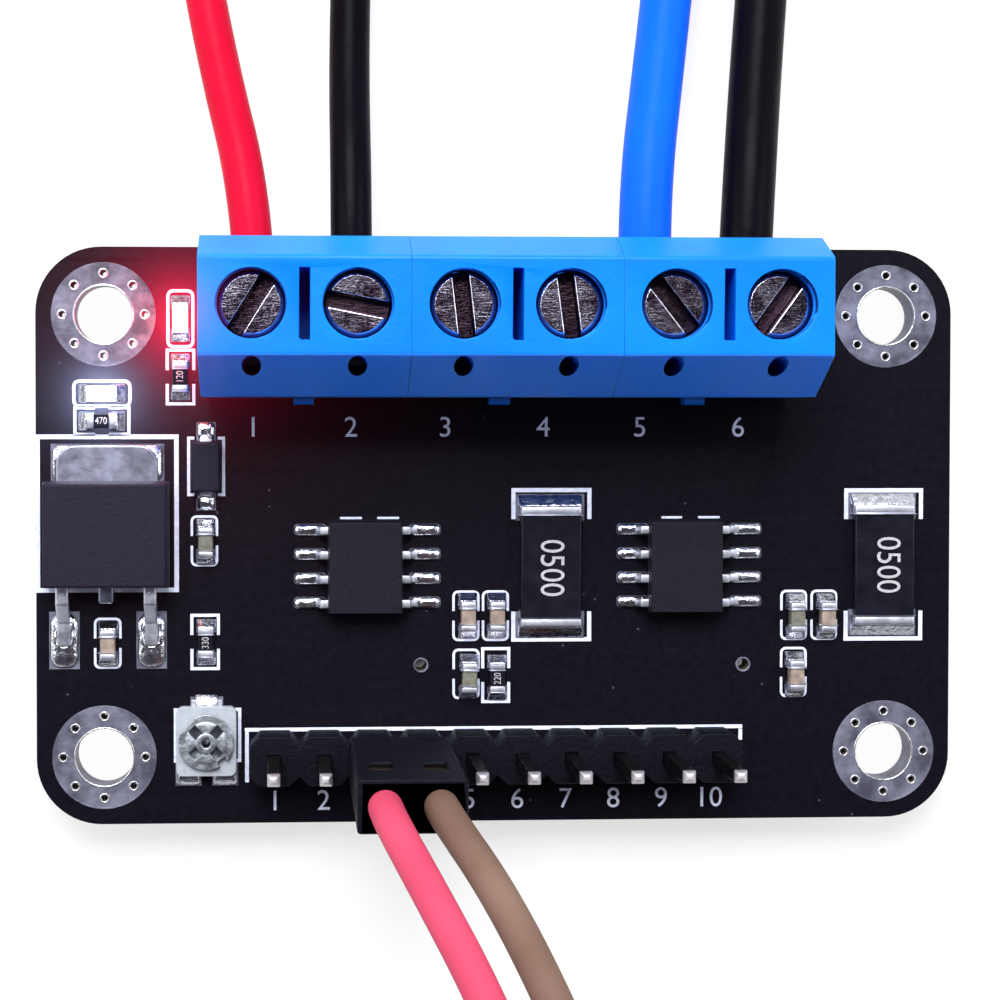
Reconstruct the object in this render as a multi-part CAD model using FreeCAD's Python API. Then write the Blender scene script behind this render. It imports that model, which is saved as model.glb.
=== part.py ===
import FreeCAD, Part
import math
import os

# Motor driver module: a black circuit board with three blue screw terminal blocks along one long
# edge, a row of header pins along the other, and surface mounted parts between them.
# Millimetres. X runs along the board, Y from the header to the terminal blocks and Z up.
# The origin is under the middle of the board, level with the ends of the soldered tails.
# Heights named after the board are measured up from its top face.

# Circuit board
board_length = 48.0
board_width = 30.0
board_thickness = 1.6
board_corner_radius = 3.4
tail_length = 1.5
pad_thickness = 0.04

# Mounting holes, with a plated ring and a circle of small plated holes around each
mount_spacing_x = 41.0
mount_spacing_y = 23.0
mount_hole_diameter = 3.0
mount_pad_diameter = 5.4
plating = 0.05
stitch_count = 8
stitch_circle = 4.26
stitch_diameter = 0.32

# Two plated test holes
test_hole_places = [(-4.03, -6.80), (12.99, -6.85)]
test_hole_diameter = 0.6

# Screw terminal blocks, with their backs to the board's long edge
block_count = 3
poles_per_block = 2
pole_pitch = 5.08
block_gap = 0.02
block_height = 10.0
block_depth = 7.8
block_edge_radius = 0.25
back_slope_height = 7.5
back_slope_depth = 1.13
front_slope_height = 6.2
front_slope_depth = 1.95
screw_from_back = 3.4
bore_diameter = 3.3
bore_rim_diameter = 3.43
bore_rim_depth = 0.7
parting_slot_width = 0.52
parting_slot_length = 3.44
parting_slot_depth = 5.0
probe_hole_diameter = 0.95
probe_from_back = 6.33
foot_tab_width = 1.05
foot_tab_height = 1.1
foot_tab_reach = 0.37
entry_width = 3.6
entry_bottom = 0.9
entry_height = 3.5
entry_corner_radius = 0.6
entry_flare = 0.3
entry_flare_depth = 0.9
cavity_width = 3.7
cavity_length = 3.8

# Terminal screw
head_clearance = 0.05
head_bottom = 7.65
head_height = 1.55
head_edge = 0.18
driver_slot_width = 0.78
driver_slot_depth = 0.75
shank_diameter = 2.4
thread_pitch = 0.5
driver_slot_angles = [58.0, -11.0, -83.5, -82.5, -52.0, 54.0]

# Fixed contact that the wire is pressed against, with its solder pin
contact_bottom = 3.6
contact_thickness = 0.7
contact_width = 2.0
contact_end_gap = 0.1
contact_slot_clearance = 0.04
contact_front_from_back = 6.58
contact_pin_width = 1.0
contact_shoulder_height = 1.6

# Clamp cage that the screw lifts
cage_clearance = 0.1
cage_floor = 0.8
cage_roof = 1.0
cage_side = 0.65
cage_rest_height = 0.2
cage_corner_radius = 0.45
cage_to_contact = 0.1
thread_clearance = 0.05
seating_gap = 0.02

# Wires held in the blocks: pole number, insulation diameter, bare strand diameter
strand_clamped_thickness = 1.2
strand_clamped_width = 1.7
strand_back_gap = 0.05
insulation_inset = 0.9
tinned_length = 6.0
lead_diameters = {"supply_lead_red": 2.1, "supply_lead_black": 2.1}
lead_diameters["motor_lead_blue"] = 2.7
lead_diameters["motor_lead_black"] = 2.7
lead_poles = {"supply_lead_red": 0, "supply_lead_black": 1, "motor_lead_blue": 4}
lead_poles["motor_lead_black"] = 5
strand_share = 0.5

# Pin header
header_pins = 10
header_pitch = 2.54
header_first_x = -11.66
header_y = -11.4
header_depth = 2.54
header_height = 2.5
header_notch = 0.5
header_pin_width = 0.64
header_pin_height = 8.2
header_pin_taper = 0.25

# Plug-on housing of the two-way jumper lead, on header pins 3 and 4
jumper_first_pin = 2
jumper_ways = 2
jumper_length = 12.6
jumper_depth = 2.5
jumper_end_wall = 0.02
jumper_cavity = 1.9
jumper_mouth_length = 1.2
jumper_mouth_width = 1.0
jumper_window_length = 2.4
jumper_window_width = 1.1
jumper_window_from_top = 2.6
jumper_edge_radius = 0.18
jumper_lead_diameter = 1.6
jumper_lead_inset = 0.6
crimp_socket_width = 1.8
crimp_socket_wall = 0.2
crimp_socket_length = 6.0
crimp_barrel_diameter = 1.3
crimp_neck_width = 0.9
crimp_neck_length = 1.2

# Voltage regulator
regulator_x = -20.3
regulator_y = 0.15
regulator_length_x = 6.5
regulator_length_y = 5.5
regulator_height = 2.3
regulator_parting = 1.1
regulator_draft = 0.12
regulator_tab_width = 5.25
regulator_tab_reach = 1.85
regulator_tab_thickness = 0.5
regulator_tab_corner = 1.0
regulator_lead_pitch = 4.5
regulator_lead_width = 0.66
regulator_lead_thickness = 0.5
regulator_lead_reach = 3.05
regulator_foot_length = 1.3
regulator_stub_reach = 0.78
regulator_pad_width = 1.57
regulator_pad_length = 2.99
regulator_pad_y = -5.4
regulator_tab_pad_width = 5.85
regulator_tab_pad_length = 4.6

# Driver chips
chip_places = [(-6.97, -1.6), (9.74, -1.6)]
chip_pad_offset_x = [0.14, 0.36]
chip_width = 3.9
chip_length = 4.9
chip_bottom = 0.15
chip_height = 1.5
chip_parting = 0.8
chip_draft = 0.1
chip_pins_per_side = 4
chip_pin_pitch = 1.27
chip_span = 6.0
chip_lead_width = 0.42
chip_lead_thickness = 0.2
chip_foot_length = 0.55
chip_knee = 0.3
chip_pad_length = 1.7
chip_pad_width = 0.62
chip_pad_corner = 0.22
chip_pad_reach = 3.84

# Current sensing resistors, with their long side along Y
sense_places = [(2.75, -1.62), (20.38, -1.58)]
sense_length = 6.35
sense_width = 3.2
sense_height = 0.62
sense_cap = 0.5
sense_pad_length = 1.4
sense_pad_width = 3.6
sense_pad_outer = 3.78

# Chip capacitors and resistors: x, y and turn in degrees of the long side from Y
chip_part_length = 1.6
chip_part_width = 0.8
chip_cap_length = 0.4
chip_cap_skin = 0.02
capacitor_height = 0.8
resistor_height = 0.45
chip_pad_inner = 0.5
chip_pad_outer = 1.18
chip_part_pad_width = 1.0
near_block_y = board_width / 2 - block_depth - 7.5
tan_capacitors = [(-20.28, -5.58, 0.0), (-1.58, -4.2, 0.0), (-0.06, -4.2, 0.0)]
tan_capacitors += [(17.38, -4.32, 0.0), (15.72, -7.38, 0.0)]
grey_capacitors = [(-15.23, near_block_y, 0.0), (-1.52, -7.42, -1.5), (15.76, -4.32, 0.0)]
resistors = [(-16.53, 8.26, 0.0), (-20.59, 5.98, 90.0), (-15.23, -5.52, 0.0), (-0.04, -7.46, 0.0)]

# Indicator lamps
red_lamp_place = (-16.53, 11.28, 0.0)
white_lamp_place = (-20.59, 7.4, 90.0)
lamp_base_height = 0.28
lamp_lens_length = 1.15
lamp_lens_height = 0.42
lamp_lens_draft = 0.08

# Diode, with its long side along Y
diode_x = -15.21
diode_y = board_width / 2 - block_depth - 3.58
diode_length = 2.65
diode_width = 1.55
diode_height = 1.15
diode_parting = 0.55
diode_draft = 0.08
diode_lead_width = 0.62
diode_lead_thickness = 0.15
diode_lead_reach = 0.55
diode_pad_length = 0.95
diode_pad_width = 1.0
diode_pad_centre = 1.82

# Trimming potentiometer
trimmer_x = -15.2
trimmer_y = -10.62
trimmer_width = 3.1
trimmer_length = 3.6
trimmer_base_height = 0.75
trimmer_base_corner = 0.35
rotor_diameter = 2.86
rotor_gap = 0.06
rotor_thickness = 0.4
rotor_rim_height = 0.14
rotor_dish_diameter = 2.1
rotor_slot_width = 0.5
rotor_slot_length = 2.1
rotor_slot_depth = 0.3
rotor_rim_notch = 0.5
rotor_flat = 1.27
rotor_flat_direction = 137.0
rotor_running_clearance = 0.03
rivet_diameter = 0.84
rivet_hole_diameter = 0.46
rivet_head_diameter = 1.05
rivet_head_height = 0.12
trimmer_foot_width = 1.25
trimmer_foot_pitch = 1.9
trimmer_foot_reach = 0.45
trimmer_foot_thickness = 0.15
trimmer_top_terminal_width = 1.6
trimmer_top_terminal_reach = 0.3

# Soldered joints
through_pad_radius = 1.1
header_pad_radius = 0.85
solder_cone_height = 0.95
hole_clearance = 0.05
fillet_height_share = 0.6

# Cords: each route is a list of points, from the piece that holds it to its far end.
# The leads' Y is measured from the blocks' backs, the jumper's from the middle of the board.
lead_height = 6.1
supply_rest = 1.08
motor_rest = 1.38
jumper_start = 17.62
jumper_rest = 1.27
lead_routes = {
    "supply_lead_red": [
        (-12.70, -0.84, lead_height), (-12.95, 2.9, 6.05), (-14.45, 9, 3.4),
        (-15.9, 16.5, supply_rest), (-11.8, 26, supply_rest), (-9.3, 34.5, supply_rest),
        (-9.2, 43, supply_rest), (-13.3, 47.1, supply_rest), (-19.1, 47.1, supply_rest),
        (-23.2, 43, supply_rest), (-23.0, 32, supply_rest), (-23.3, 21.5, supply_rest),
    ],
    "supply_lead_black": [
        (-7.75, -0.84, lead_height), (-7.76, 2.9, 6.05), (-7.8, 9, 3.4), (-7.6, 16.5, supply_rest),
        (-6.6, 26, supply_rest), (-6.3, 34.5, supply_rest), (-6.4, 44.2, supply_rest),
        (-12.1, 49.9, supply_rest), (-20.3, 49.9, supply_rest), (-26.0, 44.2, supply_rest),
        (-25.8, 32, supply_rest), (-26.1, 21.5, supply_rest),
    ],
    "motor_lead_blue": [
        (7.2, -0.84, lead_height), (7.2, 2.9, 6.05), (8.3, 9.4, 3.7), (9.6, 18, motor_rest),
        (7.1, 25.5, motor_rest), (4.3, 33, motor_rest), (3.3, 42.3, motor_rest),
        (10.5, 49.5, motor_rest), (20.7, 49.5, motor_rest), (27.9, 42.3, motor_rest),
        (27.7, 31, motor_rest), (28.0, 21.5, motor_rest),
    ],
    "motor_lead_black": [
        (12.36, -0.84, lead_height), (12.55, 2.9, 6.05), (13.4, 9.4, 3.7), (14.5, 18, motor_rest),
        (11.2, 26, motor_rest), (7.6, 33.5, motor_rest), (6.5, 41, motor_rest),
        (11.8, 46.3, motor_rest), (19.3, 46.3, motor_rest), (24.6, 41, motor_rest),
        (24.4, 31, motor_rest), (24.7, 21.5, motor_rest),
    ],
}
jumper_routes = {
    "jumper_lead_red": [
        (-6.58, -11.4, jumper_start), (-6.52, -11.44, 20.5), (-5.05, -13.6, 25.3),
        (-3.1, -16.9, 29.0), (-1.1, -21.6, 30.4), (0.0, -26.6, 27.2), (0.9, -30, 20.2),
        (1.7, -31.6, 12.4), (3.2, -31.9, 5.7), (7.0, -31.6, 1.3), (11.6, -31.29, jumper_rest),
        (14.6, -31.27, jumper_rest),
    ],
    "jumper_lead_brown": [
        (-4.04, -11.4, jumper_start), (-3.97, -11.44, 20.3), (-2.2, -13.6, 24.9),
        (-0.4, -16.9, 28.6), (1.4, -21.2, 29.6), (2.4, -25.6, 26.0), (3.1, -28.2, 19.0),
        (3.9, -29.2, 11.8), (5.3, -29.3, 5.6), (8.4, -28.9, 1.5), (11.9, -28.75, jumper_rest),
        (14.6, -28.73, jumper_rest),
    ],
}

board_bottom = tail_length
board_top = tail_length + board_thickness
pad_top = board_top + pad_thickness
block_back = board_width / 2
screw_y = block_back - screw_from_back
contact_front = block_back - contact_front_from_back
contact_pin_y = contact_front + contact_thickness / 2
cavity_back = screw_y + cavity_length / 2
head_diameter = bore_diameter - 2 * head_clearance
cage_width = cavity_width - 2 * cage_clearance
cage_length = cavity_length - 2 * cage_clearance - 0.3
pole_count = block_count * poles_per_block
pole_xs = [(pole - (pole_count - 1) / 2) * pole_pitch for pole in range(pole_count)]
header_xs = [header_first_x + pin * header_pitch for pin in range(header_pins)]


def vec(x, y, z):
    return FreeCAD.Vector(x, y, z)


def box(x0, x1, y0, y1, z0, z1):
    return Part.makeBox(x1 - x0, y1 - y0, z1 - z0, vec(x0, y0, z0))


def centred_box(x, y, length_x, length_y, z0, z1):
    return box(x - length_x / 2, x + length_x / 2, y - length_y / 2, y + length_y / 2, z0, z1)


def post(x, y, diameter, z0, z1):
    return Part.makeCylinder(diameter / 2, z1 - z0, vec(x, y, z0))


def prism(points, path):
    return Part.Face(Part.makePolygon(points + points[:1])).extrude(path)


def moved(shape, x, y, z=0.0, turn=0.0):
    copy = shape.copy()
    copy.rotate(vec(0, 0, 0), vec(0, 0, 1), turn)
    copy.translate(vec(x, y, z))
    return copy


def rectangle(x, y, length_x, length_y, z):
    corners = [(-1, -1), (1, -1), (1, 1), (-1, 1), (-1, -1)]
    return Part.makePolygon([vec(x + a * length_x / 2, y + b * length_y / 2, z) for a, b in corners])


def moulded_body(x, y, length_x, length_y, z0, z_parting, z1, draft):
    """Moulded case: widest at its parting line, with drafted sides above and below."""
    sections = [
        rectangle(x, y, length_x - 2 * draft, length_y - 2 * draft, z0),
        rectangle(x, y, length_x, length_y, z_parting),
        rectangle(x, y, length_x - 2 * draft, length_y - 2 * draft, z1),
    ]
    return Part.makeLoft(sections, True, True)


def rounded(shape, radius, along, keep=lambda edge: True):
    """Rounds the straight edges that run along the given axis, 0 for X, 1 for Y and 2 for Z."""
    picked = []
    for edge in shape.Edges:
        if len(edge.Vertexes) != 2:
            continue
        run = edge.Vertexes[1].Point - edge.Vertexes[0].Point
        if abs(abs(run[along]) - run.Length) < 1e-6 and keep(edge):
            picked.append(edge)
    return shape.makeFillet(radius, picked)


def strip(points, thickness, width):
    """Bent metal strip: its middle line in X and Z, its width centred on Y."""
    def normal(a, b):
        run = math.hypot(b[0] - a[0], b[1] - a[1])
        return (-(b[1] - a[1]) / run, (b[0] - a[0]) / run)

    normals = [normal(a, b) for a, b in zip(points, points[1:])]
    upper, lower = [], []
    for index, (u, z) in enumerate(points):
        before = normals[max(index - 1, 0)]
        after = normals[min(index, len(normals) - 1)]
        spread = 1 + before[0] * after[0] + before[1] * after[1]
        mitre = ((before[0] + after[0]) / spread, (before[1] + after[1]) / spread)
        upper.append(vec(u + mitre[0] * thickness / 2, -width / 2, z + mitre[1] * thickness / 2))
        lower.append(vec(u - mitre[0] * thickness / 2, -width / 2, z - mitre[1] * thickness / 2))
    return prism(upper + lower[::-1], vec(0, width, 0))


def solder_wedge(length, height, width):
    """Solder climbing a face at X 0: a hollow slope out along X, its width centred on Y."""
    hollow = 0.15
    foot = vec(0, -width / 2, 0)
    toe = vec(length, -width / 2, 0)
    top = vec(0, -width / 2, height)
    slope = Part.BezierCurve()
    slope.setPoles([toe, vec(length * hollow, -width / 2, height * hollow), top])
    edges = [Part.LineSegment(foot, toe).toShape(), slope.toShape()]
    edges.append(Part.LineSegment(top, foot).toShape())
    return Part.Face(Part.Wire(edges)).extrude(vec(0, width, 0))


def cord_tube(name, route, diameter):
    """Round cord along straight runs joined by tangent arcs."""
    points = [vec(*point) for point in route]
    start = points[0]
    edges = []
    radii = []
    for before, corner, after in zip(points, points[1:], points[2:]):
        arriving = (corner - before).normalize()
        leaving = (after - corner).normalize()
        half_turn = arriving.getAngle(leaving) / 2
        reach = 0.45 * min((corner - before).Length, (after - corner).Length)
        radius = reach / math.tan(half_turn)
        inward = (leaving - arriving).normalize()
        arc_start = corner - arriving * reach
        arc_end = corner + leaving * reach
        arc_middle = corner + inward * (radius / math.cos(half_turn) - radius)
        edges.append(Part.LineSegment(start, arc_start).toShape())
        edges.append(Part.Arc(arc_start, arc_middle, arc_end).toShape())
        start = arc_end
        radii.append(radius)
    edges.append(Part.LineSegment(start, points[-1]).toShape())
    path = Part.Wire(edges)
    section = Part.Wire([Part.makeCircle(diameter / 2, points[0], points[1] - points[0])])
    tube = path.makePipeShell([section], True, False)
    share = tube.Volume / (math.pi * diameter ** 2 / 4 * path.Length)
    smallest = min(radii)
    print(f"{name}: length {path.Length:.1f}, smallest radius {smallest:.1f}, volume share {share:.4f}")
    print("  radii", " ".join(f"{radius:.1f}" for radius in radii))
    return tube


def save(name, shapes):
    solids = [solid for shape in shapes for solid in shape.Solids]
    whole = solids[0] if len(solids) == 1 else Part.makeCompound(solids)
    whole.exportStep(f"parts/{name}.step")


def contact_pin_outline(x, z0, z1, grow=0.0):
    return centred_box(x, contact_pin_y, contact_pin_width + grow, contact_thickness + grow, z0, z1)


def make_board():
    """Glass-fibre board with a black mask, drilled for its fixings, pins and vias."""
    board = centred_box(0, 0, board_length, board_width, board_bottom, board_top)
    board = rounded(board, board_corner_radius, 2)
    drills = []
    for x, y in mount_places():
        drills.append(post(x, y, mount_hole_diameter + 2 * plating, board_bottom, board_top))
        for stitch_x, stitch_y in stitch_places(x, y):
            drills.append(post(stitch_x, stitch_y, stitch_diameter, board_bottom, board_top))
    pin_hole = math.hypot(contact_pin_width, contact_thickness) + 2 * hole_clearance
    for x in pole_xs:
        drills.append(post(x, contact_pin_y, pin_hole, board_bottom, board_top))
    header_hole = header_pin_width * math.sqrt(2) + 2 * hole_clearance
    for x in header_xs:
        drills.append(post(x, header_y, header_hole, board_bottom, board_top))
    for x, y in test_hole_places:
        drills.append(post(x, y, test_hole_diameter, board_bottom, board_top))
    return board.cut(drills)


def mount_places():
    return [(a * mount_spacing_x / 2, b * mount_spacing_y / 2) for a in (-1, 1) for b in (-1, 1)]


def stitch_places(x, y):
    angles = [2 * math.pi * stitch / stitch_count for stitch in range(stitch_count)]
    radius = stitch_circle / 2
    return [(x + radius * math.cos(angle), y + radius * math.sin(angle)) for angle in angles]


def make_mounting_pads():
    """Tinned copper around each mounting hole: a barrel through it and a ring on each face."""
    pads = []
    for x, y in mount_places():
        pad = post(x, y, mount_hole_diameter + 2 * plating, board_bottom - plating, board_top + plating)
        for z in (board_bottom - plating, board_top):
            pad = pad.fuse(post(x, y, mount_pad_diameter, z, z + plating))
        drills = [post(x, y, mount_hole_diameter, board_bottom - plating, board_top + plating)]
        for stitch_x, stitch_y in stitch_places(x, y):
            drill = post(stitch_x, stitch_y, stitch_diameter, board_bottom - plating, board_top + plating)
            drills.append(drill)
        pads.append(pad.cut(drills).removeSplitter())
    return pads


def make_block(block):
    """One two-pole terminal housing: sloped back and front, and a shaft for each screw and clamp."""
    width = poles_per_block * pole_pitch
    left = (block - block_count / 2) * width
    x0 = left + block_gap / 2
    x1 = left + width - block_gap / 2
    front = block_back - block_depth
    slope_top = front + front_slope_depth
    profile = [
        (block_back, 0.0), (block_back, back_slope_height),
        (block_back - back_slope_depth, block_height), (slope_top, block_height),
        (front, front_slope_height), (front, 0.0),
    ]
    body = prism([vec(x0, y, board_top + h) for y, h in profile], vec(x1 - x0, 0, 0))
    lip = board_top + front_slope_height - block_edge_radius
    body = rounded(body, block_edge_radius, 0, lambda edge: edge.Vertexes[0].Z > lip)
    middle = (x0 + x1) / 2
    body = body.fuse(box(
        middle - foot_tab_width / 2, middle + foot_tab_width / 2,
        front - foot_tab_reach, front, board_top, board_top + foot_tab_height,
    ))
    cuts = []
    for pole in range(poles_per_block):
        cuts += pole_cuts(left + (pole + 0.5) * pole_pitch)
    for pole in range(1, poles_per_block):
        cuts.append(centred_box(
            left + pole * pole_pitch, screw_y, parting_slot_width, parting_slot_length,
            board_top + block_height - parting_slot_depth, board_top + block_height,
        ))
    return body.cut(cuts)


def pole_cuts(x):
    """What is hollow in a housing at one pole."""
    top = board_top + block_height
    contact_top = board_top + contact_bottom + contact_thickness + contact_slot_clearance
    slot_width = contact_width + 2 * contact_slot_clearance
    cuts = [
        post(x, screw_y, bore_diameter, board_top + head_bottom - 0.1, top),
        post(x, screw_y, bore_rim_diameter, top - bore_rim_depth, top),
        centred_box(x, screw_y, cavity_width, cavity_length, board_top, board_top + head_bottom - 0.05),
        box(
            x - slot_width / 2, x + slot_width / 2, contact_front - contact_slot_clearance, screw_y,
            board_top, contact_top,
        ),
        post(x, block_back - probe_from_back, probe_hole_diameter, contact_top, top),
    ]
    middle = board_top + entry_bottom + entry_height / 2
    entry = box(
        x - entry_width / 2, x + entry_width / 2, screw_y, block_back,
        middle - entry_height / 2, middle + entry_height / 2,
    )
    cuts.append(rounded(entry, entry_corner_radius, 1))
    flare_start = block_back - entry_flare_depth
    mouths = []
    for y, grow in ((flare_start, 0.0), (block_back, entry_flare)):
        half_x = entry_width / 2 + grow
        half_z = entry_height / 2 + grow
        corners = [(-1, -1), (1, -1), (1, 1), (-1, 1), (-1, -1)]
        mouths.append(Part.makePolygon([vec(x + a * half_x, y, middle + b * half_z) for a, b in corners]))
    cuts.append(Part.makeLoft(mouths, True, True))
    return cuts


def make_screw(x, angle):
    """Slotted screw that stands on the contact and turns in the cage's thread."""
    z_tip = board_top + contact_bottom + contact_thickness + seating_gap
    z_head = board_top + head_bottom
    z_top = z_head + head_height
    radius = head_diameter / 2
    shank = shank_diameter / 2
    profile = [
        (0, z_tip), (shank - head_edge, z_tip), (shank, z_tip + head_edge), (shank, z_head),
        (radius, z_head), (radius, z_top - head_edge), (radius - head_edge, z_top), (0, z_top),
    ]
    outline = [vec(r, 0, z) for r, z in profile]
    face = Part.Face(Part.makePolygon(outline + outline[:1]))
    screw = face.revolve(vec(0, 0, 0), vec(0, 0, 1), 360)
    slot = centred_box(0, 0, head_diameter, driver_slot_width, z_top - driver_slot_depth, z_top)
    return moved(screw.cut(slot), x, screw_y, turn=angle)


def cage_lift(pole):
    """How far the cage stands above its lowest place: up against the wire where one is held."""
    if pole not in lead_poles.values():
        return 0.0
    wire_bottom = contact_bottom - strand_clamped_thickness - 2 * seating_gap
    return wire_bottom - cage_rest_height - cage_floor


def make_cage(pole):
    """Clamp cage folded from strip, with a thick tapped roof for the screw."""
    x = pole_xs[pole]
    z0 = board_top + cage_rest_height + cage_lift(pole)
    inside = contact_bottom + contact_thickness + cage_to_contact - cage_rest_height - cage_floor
    height = cage_floor + inside + cage_roof
    body = centred_box(x, screw_y, cage_width, cage_length, z0, z0 + height)
    body = rounded(body, cage_corner_radius, 1)
    window = centred_box(
        x, screw_y, cage_width - 2 * cage_side, cage_length, z0 + cage_floor, z0 + cage_floor + inside
    )
    tapping = post(x, screw_y, shank_diameter + 2 * thread_clearance, z0 + cage_floor, z0 + height)
    return body.cut([window, tapping])


def make_contact(x):
    """Tinned brass contact: a flat bar through the cage, folded down into the solder pin."""
    z_top = board_top + contact_bottom + contact_thickness
    bar_back = cavity_back - contact_end_gap
    half = contact_width / 2
    bar = box(x - half, x + half, contact_front, bar_back, z_top - contact_thickness, z_top)
    leg = box(
        x - half, x + half, contact_front, contact_front + contact_thickness,
        board_top + contact_shoulder_height, z_top,
    )
    blade = bar.fuse(leg).removeSplitter()
    blade = rounded(
        blade, 0.6 * contact_thickness, 0,
        lambda edge: edge.Vertexes[0].Y < contact_front + 1e-6 and edge.Vertexes[0].Z > z_top - 1e-6,
    )
    pin = contact_pin_outline(x, 0.0, board_top + contact_shoulder_height)
    return blade.fuse(pin).removeSplitter()


def make_clamped_strands(x):
    """Bare strands flattened between the cage's floor and the contact."""
    top = board_top + contact_bottom - seating_gap
    y0 = screw_y - cage_length / 2 + strand_back_gap
    y1 = block_back - insulation_inset
    strands = box(
        x - strand_clamped_width / 2, x + strand_clamped_width / 2, y0, y1,
        top - strand_clamped_thickness, top,
    )
    return rounded(strands, 0.4 * strand_clamped_thickness, 1)


def placed_route(name):
    """A lead's points in the frame of the module."""
    return [(x, block_back + y, z) for x, y, z in lead_routes[name]]


def make_tinned_end(name):
    """Twisted and tinned strands at a lead's free end."""
    route = [vec(*point) for point in placed_route(name)]
    diameter = strand_share * lead_diameters[name]
    direction = (route[-1] - route[-2]).normalize()
    end = Part.makeCylinder(diameter / 2, tinned_length, route[-1], direction)
    return end.makeChamfer(0.2 * diameter, [edge for edge in end.Edges if is_far_rim(edge, route[-1])])


def is_far_rim(edge, start):
    return edge.Closed and (edge.CenterOfMass - start).Length > tinned_length / 2


def make_header_strip():
    """Moulded strip with a waist between neighbouring pins, so that it snaps to length."""
    half = header_pitch / 2
    back = header_depth / 2
    upper, lower = [], []
    for x in header_xs:
        upper += [(x - half, back - header_notch), (x - half + header_notch, back)]
        upper += [(x + half - header_notch, back), (x + half, back - header_notch)]
    for x, y in reversed(upper):
        lower.append((x, -y))
    outline = []
    for x, y in upper + lower:
        point = vec(x, header_y + y, pad_top)
        if not outline or (point - outline[-1]).Length > 1e-6:
            outline.append(point)
    strip_body = prism(outline, vec(0, 0, header_height - pad_thickness))
    holes = [
        centred_box(x, header_y, header_pin_width, header_pin_width, board_top, board_top + header_height)
        for x in header_xs
    ]
    return strip_body.cut(holes)


def make_header_pin(x):
    """Square pin with a tapered tip at each end."""
    top = board_top + header_pin_height
    small = header_pin_width - 2 * header_pin_taper * 0.7
    sections = [
        rectangle(x, header_y, small, small, 0.0),
        rectangle(x, header_y, header_pin_width, header_pin_width, header_pin_taper),
        rectangle(x, header_y, header_pin_width, header_pin_width, top - header_pin_taper),
        rectangle(x, header_y, small, small, top),
    ]
    return Part.makeLoft(sections, True, True)


def make_jumper_housing():
    """Plug-on housing standing on Z 0, its ways side by side along X, wires leaving at the top."""
    width = jumper_ways * header_pitch - jumper_end_wall
    housing = centred_box(0, 0, width, jumper_depth, 0, jumper_length)
    housing = rounded(housing, jumper_edge_radius, 2)
    cuts = []
    for x in way_xs():
        cuts.append(centred_box(x, 0, jumper_cavity, jumper_cavity, jumper_mouth_length, jumper_length))
        cuts.append(centred_box(x, 0, jumper_mouth_width, jumper_mouth_width, 0, jumper_length))
        z1 = jumper_length - jumper_window_from_top
        cuts.append(box(
            x - jumper_window_width / 2, x + jumper_window_width / 2, 0, jumper_depth,
            z1 - jumper_window_length, z1,
        ))
    return housing.cut(cuts)


def way_xs():
    return [(way - (jumper_ways - 1) / 2) * header_pitch for way in range(jumper_ways)]


def make_crimp_contacts():
    """Socket contacts inside the plug-on housing, each folded from strip and crimped on its wire."""
    contacts = []
    z0 = jumper_mouth_length + seating_gap
    z1 = z0 + crimp_socket_length
    z2 = z1 + crimp_neck_length
    inner = crimp_socket_width - 2 * crimp_socket_wall
    grip = header_pin_width + 2 * seating_gap
    for x in way_xs():
        contact = centred_box(x, 0, crimp_socket_width, crimp_socket_width, z0, z1)
        contact = contact.cut(centred_box(x, 0, grip, inner, z0, z1 - crimp_socket_wall))
        neck = centred_box(x, 0, crimp_neck_width, crimp_neck_width, z1, z2)
        barrel = post(x, 0, crimp_barrel_diameter, z2, jumper_length - jumper_lead_inset)
        contacts.append(contact.fuse([neck, barrel]).removeSplitter())
    return contacts


def stand_on_header(shape):
    x = header_xs[jumper_first_pin] + (jumper_ways - 1) * header_pitch / 2
    return moved(shape, x, header_y, board_top + header_height + seating_gap)


def lay_at_far_end(shape):
    """Lays the far plug on its side, its windows up and its mouth away from the cord."""
    ends = [vec(*route[-1]) for route in jumper_routes.values()]
    middle = (ends[0] + ends[1]) * 0.5
    copy = shape.copy()
    copy.rotate(vec(0, 0, 0), vec(0, 0, 1), -90)
    copy.rotate(vec(0, 0, 0), vec(0, 1, 0), -90)
    copy.translate(vec(middle.x + jumper_length - jumper_lead_inset, middle.y, middle.z))
    return copy


def make_regulator():
    """Three-lead power package: moulded body, tinned tab under it and two formed leads."""
    front = regulator_y - regulator_length_y / 2
    back = regulator_y + regulator_length_y / 2
    z0 = pad_top
    half = regulator_tab_width / 2
    tab_end = back + regulator_tab_reach
    tab = box(
        regulator_x - half, regulator_x + half, back - 3.6, tab_end,
        z0, z0 + regulator_tab_thickness,
    )
    tab = rounded(tab, regulator_tab_corner, 2, lambda edge: edge.Vertexes[0].Y > tab_end - 1e-6)
    body = moulded_body(
        regulator_x, regulator_y, regulator_length_x, regulator_length_y,
        z0, z0 + regulator_parting, z0 + regulator_height, regulator_draft,
    )
    lead_z = regulator_parting
    inside = 1.0
    stub = strip(
        [(-inside, lead_z), (regulator_stub_reach, lead_z)], regulator_lead_thickness, regulator_lead_width + 0.12
    )
    stub = moved(stub, regulator_x, front, z0, -90)
    half_lead = regulator_lead_thickness / 2
    foot_start = regulator_lead_reach - regulator_foot_length
    line = [(-inside, lead_z), (0.75, lead_z), (foot_start, half_lead), (regulator_lead_reach, half_lead)]
    leads = []
    for side in (-1, 1):
        lead = strip(line, regulator_lead_thickness, regulator_lead_width)
        leads.append(moved(lead, regulator_x + side * regulator_lead_pitch / 2, front, z0, -90))
    body = body.cut([tab, stub] + leads)
    return body, [tab, stub], leads


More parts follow.
